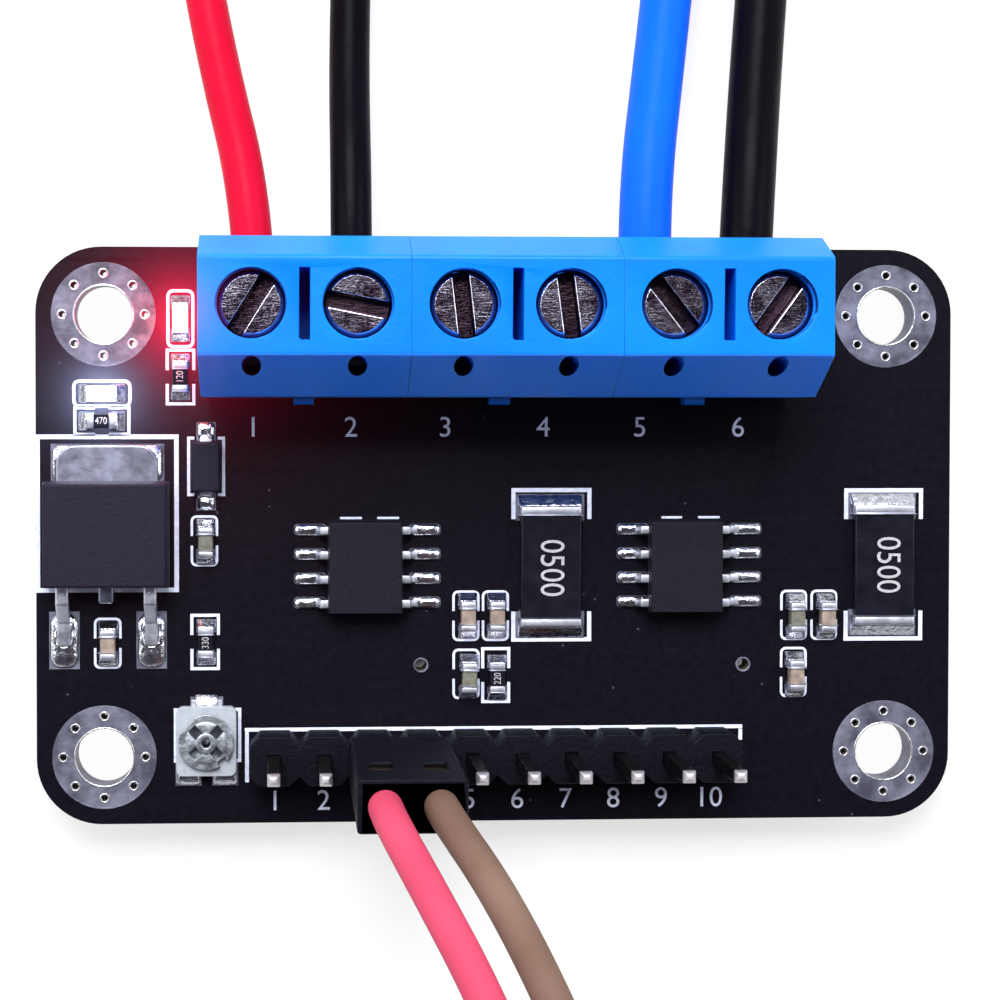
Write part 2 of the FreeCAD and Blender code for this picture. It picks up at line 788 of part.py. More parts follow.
def make_chip(place):
    """Small outline chip: moulded body with four formed leads a side and a dimple at pin one."""
    x, y = place
    z0 = pad_top
    body = moulded_body(
        x, y, chip_width, chip_length, z0 + chip_bottom, z0 + chip_parting, z0 + chip_height, chip_draft
    )
    inside = 0.4
    half = chip_lead_thickness / 2
    reach = (chip_span - chip_width) / 2
    line = [(-inside, chip_parting), (chip_knee, chip_parting)]
    line += [(reach - chip_foot_length, half), (reach, half)]
    lead = strip(line, chip_lead_thickness, chip_lead_width)
    leads = []
    for pin in range(chip_pins_per_side):
        pin_y = y + (pin - (chip_pins_per_side - 1) / 2) * chip_pin_pitch
        leads.append(moved(lead, x + chip_width / 2, pin_y, z0))
        leads.append(moved(lead, x - chip_width / 2, pin_y, z0, 180))
    return body.cut(leads), leads


def make_chip_part(place, height, length=chip_part_length, width=chip_part_width, cap=chip_cap_length):
    """Ceramic block with its long side along Y, and the tinned cap over each end."""
    x, y, turn = place
    skin = chip_cap_skin
    body = centred_box(0, 0, width - 2 * skin, length - 2 * skin, skin, height - skin)
    caps = []
    for side in (-1, 1):
        centre = side * (length - cap) / 2
        shell = centred_box(0, centre, width, cap, 0, height)
        caps.append(shell.cut(body))
    return moved(body, x, y, pad_top, turn), [moved(cap_piece, x, y, pad_top, turn) for cap_piece in caps]


def make_lamp(place):
    """Indicator lamp: a plated base with a moulded lens on it."""
    x, y, turn = place
    base = centred_box(0, 0, chip_part_width, chip_part_length, 0, lamp_base_height)
    lens = Part.makeLoft([
        rectangle(0, 0, chip_part_width, lamp_lens_length, lamp_base_height),
        rectangle(
            0, 0, chip_part_width - lamp_lens_draft, lamp_lens_length - 2 * lamp_lens_draft,
            lamp_base_height + lamp_lens_height,
        ),
    ], True, True)
    return moved(base, x, y, pad_top, turn), moved(lens, x, y, pad_top, turn)


def make_diode():
    """Moulded diode with a flat lead folded under each end."""
    z0 = pad_top
    body = moulded_body(
        diode_x, diode_y, diode_width, diode_length, z0, z0 + diode_parting, z0 + diode_height, diode_draft
    )
    half = diode_lead_thickness / 2
    line = [(-0.3, diode_parting), (0.08, diode_parting), (0.2, half), (diode_lead_reach, half)]
    lead = strip(line, diode_lead_thickness, diode_lead_width)
    back = moved(lead, diode_x, diode_y + diode_length / 2, z0, 90)
    front = moved(lead, diode_x, diode_y - diode_length / 2, z0, -90)
    return body.cut([back, front]), [back, front]


def make_trimmer():
    """Open trimming potentiometer: ceramic base, formed terminals, hollow rivet and slotted rotor."""
    z0 = pad_top
    z_base = z0 + trimmer_base_height
    x, y = trimmer_x, trimmer_y
    foot = trimmer_foot_thickness
    base = centred_box(x, y, trimmer_width, trimmer_length, z0 + foot, z_base)
    base = rounded(base, trimmer_base_corner, 2)
    base = base.cut(post(x, y, rivet_diameter, z0, z_base))
    terminals = []
    front = y - trimmer_length / 2
    back = y + trimmer_length / 2
    for side in (-1, 1):
        centre = x + side * trimmer_foot_pitch / 2
        sole = centred_box(centre, front + 0.1, trimmer_foot_width, 0.2 + 2 * trimmer_foot_reach, z0, z0 + foot)
        terminals.append(sole)
    sole = box(
        x - trimmer_top_terminal_width / 2, x + trimmer_top_terminal_width / 2,
        y - 0.7, back + trimmer_top_terminal_reach, z0, z0 + foot,
    )
    terminals.append(sole)
    z_rotor = z_base + rotor_gap
    z_top = z_rotor + rotor_thickness
    rotor = post(x, y, rotor_diameter, z_rotor, z_top - rotor_rim_height)
    rotor = rotor.fuse(post(x, y, rotor_dish_diameter, z_rotor, z_top)).removeSplitter()
    hole = rivet_diameter + 2 * rotor_running_clearance
    cuts = [post(x, y, hole, z_rotor, z_top)]
    for turn in (45, -45):
        arm = centred_box(0, 0, rotor_slot_length, rotor_slot_width, z_top - rotor_slot_depth, z_top)
        cuts.append(moved(arm, x, y, turn=turn))
    notch = centred_box(rotor_diameter / 2, 0, rotor_rim_notch, rotor_rim_notch, z_rotor, z_top)
    cuts.append(moved(notch, x, y, turn=-50))
    flat = box(rotor_flat, rotor_diameter, -rotor_diameter, rotor_diameter, z_rotor, z_top)
    cuts.append(moved(flat, x, y, turn=rotor_flat_direction))
    rotor = rotor.cut(cuts)
    rivet = post(x, y, rivet_diameter, z0 + foot, z_top + rotor_gap)
    rivet = rivet.fuse(post(
        x, y, rivet_head_diameter, z_top + rotor_gap, z_top + rotor_gap + rivet_head_height,
    ))
    rivet = rivet.cut(post(x, y, rivet_hole_diameter, z0 + foot, z_top + rotor_gap + rivet_head_height))
    return base, terminals, rotor, rivet.removeSplitter()


def make_solder_pads():
    """Tinned copper lands under the surface mounted parts, and rings at the pins underneath."""
    def land(x, y, length_x, length_y):
        return centred_box(x, y, length_x, length_y, board_top, pad_top)

    pads = []
    for (x, y), offset in zip(chip_places, chip_pad_offset_x):
        for pin in range(chip_pins_per_side):
            pin_y = y + (pin - (chip_pins_per_side - 1) / 2) * chip_pin_pitch
            for side in (-1, 1):
                centre = x + offset + side * (chip_pad_reach - chip_pad_length / 2)
                pad = land(centre, pin_y, chip_pad_length, chip_pad_width)
                pads.append(rounded(pad, chip_pad_corner, 2))
    for x, y in sense_places:
        for side in (-1, 1):
            centre = y + side * (sense_pad_outer - sense_pad_length / 2)
            pads.append(land(x, centre, sense_pad_width, sense_pad_length))
    small = tan_capacitors + grey_capacitors + resistors + [red_lamp_place, white_lamp_place]
    length = chip_pad_outer - chip_pad_inner
    for x, y, turn in small:
        for side in (-1, 1):
            centre = side * (chip_pad_inner + length / 2)
            pads.append(moved(land(0, centre, chip_part_pad_width, length), x, y, turn=turn))
    for side in (-1, 1):
        pads.append(land(diode_x, diode_y + side * diode_pad_centre, diode_pad_width, diode_pad_length))
        x = regulator_x + side * regulator_lead_pitch / 2
        pads.append(land(x, regulator_pad_y, regulator_pad_width, regulator_pad_length))
        x = trimmer_x + side * trimmer_foot_pitch / 2
        front = trimmer_y - trimmer_length / 2
        pads.append(land(x, front, trimmer_foot_width + 0.1, 2 * trimmer_foot_reach + 0.3))
    back = trimmer_y + trimmer_length / 2
    pads.append(land(trimmer_x, back, trimmer_top_terminal_width + 0.1, 2 * trimmer_top_terminal_reach + 0.3))
    tab_end = regulator_y + regulator_length_y / 2 + regulator_tab_reach
    pad_y = tab_end + 0.05 - regulator_tab_pad_length / 2
    pads.append(land(regulator_x, pad_y, regulator_tab_pad_width, regulator_tab_pad_length))
    for x in pole_xs:
        ring = post(x, contact_pin_y, 2 * through_pad_radius, board_bottom - pad_thickness, board_bottom)
        hole = contact_pin_outline(x, board_bottom - pad_thickness, board_bottom, 2 * hole_clearance)
        pads.append(ring.cut(hole))
    for x in header_xs:
        ring = post(x, header_y, 2 * header_pad_radius, board_bottom - pad_thickness, board_bottom)
        width = header_pin_width + 2 * hole_clearance
        pads.append(ring.cut(centred_box(x, header_y, width, width, 0, board_top)))
    return pads


def make_solder_fillets():
    """Solder that climbs the ends of the surface mounted parts from their lands."""
    fillets = []
    small = [(place, capacitor_height) for place in tan_capacitors + grey_capacitors]
    small += [(place, resistor_height) for place in resistors]
    small += [(place, lamp_base_height) for place in (red_lamp_place, white_lamp_place)]
    for (x, y, turn), height in small:
        length = chip_pad_outer - chip_part_length / 2
        wedge = solder_wedge(length, height * fillet_height_share, chip_part_width)
        for side in (0, 180):
            end = moved(wedge, chip_part_length / 2, 0)
            fillets.append(moved(end, x, y, pad_top, turn + 90 + side))
    for x, y in sense_places:
        wedge = solder_wedge(sense_pad_outer - sense_length / 2, sense_height * 0.85, sense_width)
        for side in (90, 270):
            fillets.append(moved(moved(wedge, sense_length / 2, 0), x, y, pad_top, side))
    for (x, y), offset in zip(chip_places, chip_pad_offset_x):
        for pin in range(chip_pins_per_side):
            pin_y = y + (pin - (chip_pins_per_side - 1) / 2) * chip_pin_pitch
            for side in (-1, 1):
                toe = x + side * chip_span / 2
                length = x + offset + side * chip_pad_reach - toe
                wedge = solder_wedge(abs(length), chip_lead_thickness, chip_lead_width + 0.1)
                fillets.append(moved(wedge, toe, pin_y, pad_top, 0 if side > 0 else 180))
    front = regulator_y - regulator_length_y / 2
    toe_y = front - regulator_lead_reach
    pad_end = regulator_pad_y - regulator_pad_length / 2
    wedge = solder_wedge(toe_y - pad_end - 0.4, regulator_lead_thickness, regulator_lead_width + 0.5)
    for side in (-1, 1):
        fillets.append(moved(wedge, regulator_x + side * regulator_lead_pitch / 2, toe_y, pad_top, -90))
    for side in (90, -90):
        reach = diode_length / 2 + diode_lead_reach
        length = diode_pad_centre + diode_pad_length / 2 - reach
        wedge = solder_wedge(length, diode_lead_thickness, diode_lead_width + 0.15)
        fillets.append(moved(moved(wedge, reach, 0), diode_x, diode_y, pad_top, side))
    return fillets


def make_solder_joints():
    """Solder drawn up around each through pin on the underside."""
    joints = []
    z1 = board_bottom - pad_thickness
    z0 = z1 - solder_cone_height
    for x in pole_xs:
        cone = Part.makeCone(0.72, through_pad_radius * 0.95, z1 - z0, vec(x, contact_pin_y, z0))
        joints.append(cone.cut(contact_pin_outline(x, z0, z1)))
    for x in header_xs:
        cone = Part.makeCone(0.5, header_pad_radius * 0.95, z1 - z0, vec(x, header_y, z0))
        pin = centred_box(x, header_y, header_pin_width, header_pin_width, z0, z1)
        joints.append(cone.cut(pin))
    return joints


os.makedirs("parts", exist_ok=True)

save("circuit_board", [make_board()])
save("mounting_pads", make_mounting_pads())
save("solder_pads", make_solder_pads())
save("solder_fillets", make_solder_fillets())
save("solder_joints", make_solder_joints())

for block in range(block_count):
    save(f"terminal_housing_{block + 1}", [make_block(block)])
for pole, x in enumerate(pole_xs):
    save(f"terminal_screw_{pole + 1}", [make_screw(x, driver_slot_angles[pole])])
    save(f"clamp_cage_{pole + 1}", [make_cage(pole)])
save("terminal_contacts", [make_contact(x) for x in pole_xs])
save("clamped_strands", [make_clamped_strands(pole_xs[pole]) for pole in lead_poles.values()])

save("header_strip", [make_header_strip()])
save("header_pins", [make_header_pin(x) for x in header_xs])
save("jumper_housing", [stand_on_header(make_jumper_housing())])
save("jumper_contacts", [stand_on_header(contact) for contact in make_crimp_contacts()])
save("far_housing", [lay_at_far_end(make_jumper_housing())])
save("far_contacts", [lay_at_far_end(contact) for contact in make_crimp_contacts()])

regulator_body, regulator_tab, regulator_leads = make_regulator()
save("regulator_body", [regulator_body])
save("regulator_tab", regulator_tab)
save("regulator_leads", regulator_leads)
for side, place in zip(("left", "right"), chip_places):
    chip_body, chip_leads = make_chip(place)
    save(f"driver_chip_{side}", [chip_body])
    save(f"driver_leads_{side}", chip_leads)

sense_caps = []
for side, (x, y) in zip(("left", "right"), sense_places):
    element, caps = make_chip_part((x, y, 0.0), sense_height, sense_length, sense_width, sense_cap)
    save(f"sense_resistor_{side}", [element])
    sense_caps += caps
save("sense_resistor_caps", sense_caps)

capacitor_caps = []
for name, places in (("capacitors_tan", tan_capacitors), ("capacitors_grey", grey_capacitors)):
    bodies = []
    for place in places:
        ceramic, caps = make_chip_part(place, capacitor_height)
        bodies.append(ceramic)
        capacitor_caps += caps
    save(name, bodies)
save("capacitor_caps", capacitor_caps)

resistor_bodies = []
resistor_caps = []
for place in resistors:
    ceramic, caps = make_chip_part(place, resistor_height)
    resistor_bodies.append(ceramic)
    resistor_caps += caps
save("chip_resistors", resistor_bodies)
save("chip_resistor_caps", resistor_caps)

diode_body, diode_leads = make_diode()
save("diode_body", [diode_body])
save("diode_leads", diode_leads)

red_base, red_lens = make_lamp(red_lamp_place)
white_base, white_lens = make_lamp(white_lamp_place)
save("lamp_bases", [red_base, white_base])
save("lamp_lens_red", [red_lens])
save("lamp_lens_white", [white_lens])

trimmer_base, trimmer_terminals, trimmer_rotor, trimmer_rivet = make_trimmer()
save("trimmer_base", [trimmer_base])
save("trimmer_terminals", trimmer_terminals)
save("trimmer_rotor", [trimmer_rotor])
save("trimmer_rivet", [trimmer_rivet])

for name in lead_routes:
    save(name, [cord_tube(name, placed_route(name), lead_diameters[name])])
save("tinned_ends", [make_tinned_end(name) for name in lead_routes])
for name, route in jumper_routes.items():
    save(name, [cord_tube(name, route, jumper_lead_diameter)])
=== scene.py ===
# Looks of a small motor driver module: black circuit board, blue screw terminals, pin header, surface
# mounted parts and six leads.
import math

import bmesh
import bpy
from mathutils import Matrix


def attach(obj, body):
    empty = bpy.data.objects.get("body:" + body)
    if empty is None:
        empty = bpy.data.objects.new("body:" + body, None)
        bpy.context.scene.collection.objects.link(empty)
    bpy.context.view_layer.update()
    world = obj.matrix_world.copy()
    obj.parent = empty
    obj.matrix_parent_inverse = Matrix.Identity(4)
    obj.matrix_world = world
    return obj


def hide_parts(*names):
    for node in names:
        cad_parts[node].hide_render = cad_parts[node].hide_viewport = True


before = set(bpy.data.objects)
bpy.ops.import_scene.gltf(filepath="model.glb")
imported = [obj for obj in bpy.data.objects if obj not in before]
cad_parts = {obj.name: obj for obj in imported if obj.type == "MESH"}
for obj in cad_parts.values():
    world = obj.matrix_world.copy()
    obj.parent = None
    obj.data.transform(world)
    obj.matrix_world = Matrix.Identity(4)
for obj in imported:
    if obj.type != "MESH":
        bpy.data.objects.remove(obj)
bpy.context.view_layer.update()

mm = 0.001


# Camera: a phone held flat above the board's left half, looking almost straight down.
# The small shift is the picture's own framing.
bpy.ops.object.select_all(action="DESELECT")
bpy.ops.object.camera_add(location=(-10.82 * mm, 6.51 * mm, 113.55 * mm))
camera = bpy.context.object
camera.rotation_euler = [math.radians(turn) for turn in (-1.33, -2.95, 0.02)]
camera.data.lens = 76.29
camera.data.shift_x = 0.1
camera.data.shift_y = -0.04
camera.data.clip_start = 0.005
bpy.context.scene.camera = camera
bpy.context.scene.view_settings.view_transform = "Standard"


# Pale table under the module. The room is bright round the back and sides, dim in front and overhead,
# where whoever holds the camera stands. The camera and the bright metal see the table lifted towards
# white, and a white backdrop behind it. The lift is weaker near the module and full far away and inside
# the mounting holes; that growth is painted light over the board's shadow. Under the two small test holes
# the lift is taken away, as painted shade.
bpy.ops.mesh.primitive_plane_add(size=6.0)
floor = bpy.context.object
floor.name = "table"


class Shade:
    """One value or colour inside a material, so that patterns are written as plain sums."""

    def __init__(self, mix, socket):
        self.mix = mix
        self.socket = socket

    def sum_node(self, operation, *values):
        return self.mix.node("ShaderNodeMath", {"operation": operation}, dict(enumerate(values)))

    def __add__(self, other):
        return self.sum_node("ADD", self, other)

    __radd__ = __add__

    def __sub__(self, other):
        return self.sum_node("SUBTRACT", self, other)

    def __rsub__(self, other):
        return self.sum_node("SUBTRACT", other, self)

    def __mul__(self, other):
        return self.sum_node("MULTIPLY", self, other)

    __rmul__ = __mul__

    def __truediv__(self, other):
        return self.sum_node("DIVIDE", self, other)

    def __rtruediv__(self, other):
        return self.sum_node("DIVIDE", other, self)

    def above(self, level):
        return self.sum_node("GREATER_THAN", self, level)

    def under(self, level):
        return self.sum_node("LESS_THAN", self, level)

    def magnitude(self):
        return self.sum_node("ABSOLUTE", self)

    def ramp(self, low, high):
        """0 under low, 1 over high and even in between."""
        return self.mix.node("ShaderNodeMapRange", {"clamp": True}, {0: self, 1: low, 2: high})


class Mixture:
    """The nodes of one material, or of the room's light."""

    def __init__(self, tree):
        self.tree = tree

    def node(self, kind, settings=None, values=None, output=0):
        made = self.tree.nodes.new(kind)
        for key, value in (settings or {}).items():
            if key == "stops":
                while len(made.color_ramp.elements) < len(value):
                    made.color_ramp.elements.new(1.0)
                for stop, (place, colour) in zip(made.color_ramp.elements, value):
                    stop.position = place
                    stop.color = colour
            else:
                setattr(made, key, value)
        for key, value in (values or {}).items():
            if isinstance(value, Shade):
                self.tree.links.new(value.socket, made.inputs[key])
            else:
                made.inputs[key].default_value = value
        return Shade(self, made.outputs[output])

    def axis(self, vector, letter):
        return self.node("ShaderNodeSeparateXYZ", {}, {0: vector}, letter)


class Finish(Mixture):
    """A material being mixed on one Principled shader."""

    def __init__(self, name, **constants):
        self.material = bpy.data.materials.new(name)
        self.material.use_nodes = True
        super().__init__(self.material.node_tree)
        self.shader = self.tree.nodes["Principled BSDF"]
        for socket, value in constants.items():
            self.shader.inputs[socket.replace("_", " ")].default_value = value

    def place(self):
        return self.node("ShaderNodeTexCoord", output="Object")

    def facing(self):
        return self.node("ShaderNodeTexCoord", output="Normal")

    def stretched(self, x, y, z):
        return self.node("ShaderNodeMapping", {}, {0: self.place(), 3: (x, y, z)})

    def noise(self, size, detail=2.0, rough=0.5, where=None):
        """Soft cloudy pattern, with features about as wide as size in metres."""
        values = {"Vector": where or self.place(), "Scale": 1 / size, "Detail": detail, "Roughness": rough}
        return self.node("ShaderNodeTexNoise", {}, values)

    def blend(self, share, first, second):
        values = {0: share, 6: first, 7: second}
        return self.node("ShaderNodeMix", {"data_type": "RGBA"}, values, 2)

    def put(self, socket, value):
        self.tree.links.new(value.socket, self.shader.inputs[socket])

    def near(self, place, reach):
        """1 at a place in XY, falling off evenly all round it."""
        values = {0: self.stretched(1, 1, 0), 1: (place[0] * mm, place[1] * mm, 0)}
        away = self.node("ShaderNodeVectorMath", {"operation": "DISTANCE"}, values, "Value")
        away = away / (reach * mm)
        share = 1 / (away * away + 1)
        return share * share

    def relief(self, height, depth, strength=1.0):
        """Bumps of that depth in metres where height goes from 0 to 1."""
        values = {"Height": height, "Distance": depth, "Strength": strength}
        self.put("Normal", self.node("ShaderNodeBump", {}, values))


table_top = Finish("pale_table", Base_Color=(0.93, 0.93, 0.93, 1), Roughness=0.75)
table_top.put("Base Color", table_top.blend(
    table_top.noise(0.05), (0.93, 0.93, 0.93, 1), (0.95, 0.95, 0.95, 1),
))
# Painted light: the table's lift towards white grows away from the module and is full inside the four
# mounting holes, over the board's shadow.
white_lift_and_painted_hole_light = 0.66 + (1 - table_top.near((0, 15), 250)) * 0.34
corner_holes = [(across * 20.5, along * 11.5) for across in (-1, 1) for along in (-1, 1)]
for corner in corner_holes:
    white_lift_and_painted_hole_light = white_lift_and_painted_hole_light + table_top.near(corner, 3.0) * 0.55
seen = table_top.node("ShaderNodeLightPath", output="Is Camera Ray")
seen = seen + table_top.node("ShaderNodeLightPath", output="Is Glossy Ray")
seen = seen + table_top.node("ShaderNodeLightPath", output="Is Transmission Ray")
seen = seen * white_lift_and_painted_hole_light
# Painted shade: round the two small test holes the lift is taken away, so the table shows dark through them.
test_holes = [(-4.03, -6.8), (12.99, -6.85)]
for small_hole in test_holes:
    seen = seen * (1 - table_top.near(small_hole, 1.5))
matt = Shade(table_top, table_top.shader.outputs[0])
lifted = table_top.node("ShaderNodeEmission", {}, {"Color": (0.98, 0.98, 0.98, 1)})
whitened = table_top.node("ShaderNodeMixShader", {}, {0: seen, 1: matt, 2: lifted})
table_top.tree.links.new(whitened.socket, table_top.tree.nodes["Material Output"].inputs[0])
floor.data.materials.append(table_top.material)

room = bpy.data.worlds.new("plain_room")
bpy.context.scene.world = room
room.use_nodes = True
air = Mixture(room.node_tree)
direction = air.node("ShaderNodeTexCoord", output="Generated")
height = air.axis(direction, "Z")
overhead = air.node("ShaderNodeValToRGB", {"stops": [
    (0.0, (0.9, 0.9, 0.92, 1)), (0.4, (0.85, 0.86, 0.92, 1)), (0.78, (0.26, 0.26, 0.31, 1)),
    (1.0, (0.05, 0.05, 0.065, 1)),
]}, {0: height})
depth = air.axis(direction, "Y")
from_front = air.node("ShaderNodeMapRange", {}, {0: depth, 1: -0.6, 2: 0.5, 3: 0.22, 4: 1.15})
dimmed = air.node("ShaderNodeVectorMath", {"operation": "SCALE"}, {0: overhead, "Scale": from_front})
daylight = air.node("ShaderNodeBackground", {}, {"Color": dimmed, "Strength": 0.8})
paper = air.node("ShaderNodeBackground", {}, {"Color": (0.98, 0.98, 0.98, 1)})
by_glossy = air.node("ShaderNodeLightPath", output="Is Glossy Ray")
by_clear = air.node("ShaderNodeLightPath", output="Is Transmission Ray")
wall = air.node("ShaderNodeMapRange", {}, {0: height, 1: 0.1, 2: 0.25, 3: 1.0, 4: 0.0})
shown = (by_glossy + by_clear) * wall + air.node("ShaderNodeLightPath", output="Is Camera Ray")
backdrop = air.node("ShaderNodeMixShader", {}, {0: shown, 1: daylight, 2: paper})
air.tree.links.new(backdrop.socket, air.tree.nodes["World Output"].inputs["Surface"])


def soft_lamp(name, place, aim, size, watts):
    bpy.ops.object.light_add(type="AREA", location=place)
    lamp = bpy.context.object
    lamp.name = name
    lamp.data.size = size
    lamp.data.energy = watts
    away = lamp.location.copy()
    away.x -= aim[0]
    away.y -= aim[1]
    away.z -= aim[2]
    lamp.rotation_euler = away.to_track_quat("Z", "Y").to_euler()


soft_lamp("lamp_back", (-0.06, 0.3, 0.42), (0, 0.01, 0), 0.3, 4.3)
soft_lamp("lamp_right", (0.42, 0.12, 0.34), (0, 0, 0), 0.28, 1.0)
soft_lamp("lamp_left", (-0.42, 0.1, 0.3), (0, 0, 0), 0.28, 0.9)


# Leads: stranded wire in soft plastic insulation, drawn smooth and slightly glossy.
# Each runs straight out of its clamp, drops to the table and is put away in one loop beyond the picture.
def insulation(name, colour, deep, roughness=0.38):
    finish = Finish(name, Roughness=roughness, Specular_IOR_Level=0.04)
    clouds = finish.noise(6 * mm, 3.0)
    smudges = finish.noise(1.3 * mm, 2.0, 0.6)
    finish.put("Base Color", finish.blend(clouds.ramp(0.35, 0.7), deep, colour))
    finish.put("Roughness", smudges * 0.22 + (roughness - 0.11))
    finish.relief(finish.noise(0.5 * mm, 3.0), 0.02 * mm)
    return finish.material


def lead(name, route, diameter, material):
    curve = bpy.data.curves.new(name, "CURVE")
    curve.dimensions = "3D"
    line = curve.splines.new("NURBS")
    line.points.add(len(route) - 1)
    for point, (x, y, z) in zip(line.points, route):
        point.co = (x * mm, y * mm, z * mm, 1)
    line.order_u = 3
    line.use_endpoint_u = True
    curve.resolution_u = 14
    curve.bevel_depth = diameter / 2 * mm
    curve.bevel_resolution = 9
    curve.use_fill_caps = True
    piece = bpy.data.objects.new(name, curve)
    bpy.context.collection.objects.link(piece)
    curve.materials.append(material)
    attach(piece, "module")
    return piece


red_insulation = insulation("supply_red", (0.55, 0.004, 0.03, 1), (0.47, 0.003, 0.024, 1))
black_insulation = insulation("lead_black", (0.0025, 0.0017, 0.0042, 1), (0.0015, 0.001, 0.0026, 1), 0.36)
blue_insulation = insulation("motor_blue", (0.004, 0.115, 0.84, 1), (0.003, 0.095, 0.76, 1))

red_route = [
    (-12.70, 14.16, 6.1), (-12.95, 17.9, 6.05), (-14.45, 24.0, 3.4), (-15.9, 31.5, 1.08),
    (-11.8, 41.0, 1.08), (-9.3, 49.5, 1.08), (-9.2, 58.0, 1.08), (-13.3, 62.1, 1.08),
    (-19.1, 62.1, 1.08), (-23.2, 58.0, 1.08), (-23.0, 47.0, 1.08), (-23.3, 36.5, 1.08),
]
supply_red = lead("red_supply_wire", red_route, 2.1, red_insulation)
black_route = [
    (-7.75, 14.16, 6.1), (-7.76, 17.9, 6.05), (-7.8, 24.0, 3.4), (-7.6, 31.5, 1.08), (-6.6, 41.0, 1.08),
    (-6.3, 49.5, 1.08), (-6.4, 59.2, 1.08), (-12.1, 64.9, 1.08), (-20.3, 64.9, 1.08),
    (-26.0, 59.2, 1.08), (-25.8, 47.0, 1.08), (-26.1, 36.5, 1.08),
]
supply_black = lead("black_supply_wire", black_route, 2.1, black_insulation)
blue_route = [
    (7.2, 14.16, 6.1), (7.2, 17.9, 6.05), (8.3, 24.4, 3.7), (9.6, 33.0, 1.38), (7.1, 40.5, 1.38),
    (4.3, 48.0, 1.38), (3.3, 57.3, 1.38), (10.5, 64.5, 1.38), (20.7, 64.5, 1.38), (27.9, 57.3, 1.38),
    (27.7, 46.0, 1.38), (28.0, 36.5, 1.38),
]
motor_blue = lead("blue_motor_wire", blue_route, 2.7, blue_insulation)
motor_black_route = [
    (12.36, 14.16, 6.1), (12.55, 17.9, 6.05), (13.4, 24.4, 3.7), (14.5, 33.0, 1.38), (11.2, 41.0, 1.38),
    (7.6, 48.5, 1.38), (6.5, 56.0, 1.38), (11.8, 61.3, 1.38), (19.3, 61.3, 1.38), (24.6, 56.0, 1.38),
    (24.4, 46.0, 1.38), (24.7, 36.5, 1.38),
]
motor_black = lead("black_motor_wire", motor_black_route, 2.7, black_insulation)

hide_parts("supply_lead_red")
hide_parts("supply_lead_black")
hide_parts("motor_lead_blue")
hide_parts("motor_lead_black")


# Free ends of the four leads: bare copper strands, twisted tight and tinned so that they don't fray.
# Each is stripped for 6 mm and points on from where its insulation stops.
def tinned_twist(name, start, beyond, diameter):
    """Seven round strands drawn along Z, twisted by a modifier, then laid on the lead's end."""
    bpy.ops.object.select_all(action="DESELECT")
    strand = diameter / 6 * mm
    places = [(0.0, 0.0)]
    for turn in range(6):
        angle = turn * math.pi / 3
        places.append((math.cos(angle) * strand * 1.9, math.sin(angle) * strand * 1.9))
    parts = []
    for x, y in places:
        bpy.ops.mesh.primitive_cylinder_add(
            vertices=10, radius=strand, depth=6.0 * mm, location=(x, y, 3.0 * mm),
        )
        parts.append(bpy.context.object)
    bpy.ops.object.select_all(action="DESELECT")
    for part in parts:
        part.select_set(True)
    bpy.context.view_layer.objects.active = parts[0]
    bpy.ops.object.join()
    bundle = bpy.context.object
    bundle.name = name
    bpy.ops.object.transform_apply(location=True, rotation=True, scale=True)
    bpy.ops.object.mode_set(mode="EDIT")
    for level in range(1, 16):
        bpy.ops.mesh.select_all(action="SELECT")
        bpy.ops.mesh.bisect(plane_co=(0, 0, level * 0.375 * mm), plane_no=(0, 0, 1))
    bpy.ops.object.mode_set(mode="OBJECT")
    twist = bundle.modifiers.new("twist", "SIMPLE_DEFORM")
    twist.deform_method = "TWIST"
    twist.deform_axis = "Z"
    twist.angle = math.radians(280)
    bpy.ops.object.modifier_apply(modifier="twist")
    bpy.ops.object.shade_smooth_by_angle(angle=math.radians(50))
    heading = math.atan2(beyond[1] - start[1], beyond[0] - start[0])
    bundle.rotation_euler = (math.pi / 2, 0, heading + math.pi / 2)
    bundle.location = (start[0] * mm, start[1] * mm, start[2] * mm)
    bpy.ops.object.transform_apply(location=True, rotation=True, scale=True)
    return bundle


bright_tin = Finish("bright_tin", Metallic=1.0, Roughness=0.3)
bright_tin.put("Base Color", bright_tin.blend(
    bright_tin.noise(0.7 * mm, 3.0).ramp(0.3, 0.7), (0.62, 0.62, 0.64, 1), (0.78, 0.78, 0.79, 1),
))
bright_tin.put("Roughness", bright_tin.noise(0.3 * mm, 3.0) * 0.3 + 0.16)
bright_tin.relief(bright_tin.noise(0.35 * mm, 3.0), 0.03 * mm)

for end_name, route, width in (
    ("red_wire_tip", red_route, 1.05), ("black_wire_tip", black_route, 1.05),
    ("blue_wire_tip", blue_route, 1.35), ("black_motor_wire_tip", motor_black_route, 1.35),
):
    last, before = route[-1], route[-2]
    beyond = [2 * a - b for a, b in zip(last, before)]
    tip = tinned_twist(end_name, last, beyond, width)
    tip.data.materials.append(bright_tin.material)
    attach(tip, "module")
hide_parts("tinned_ends")


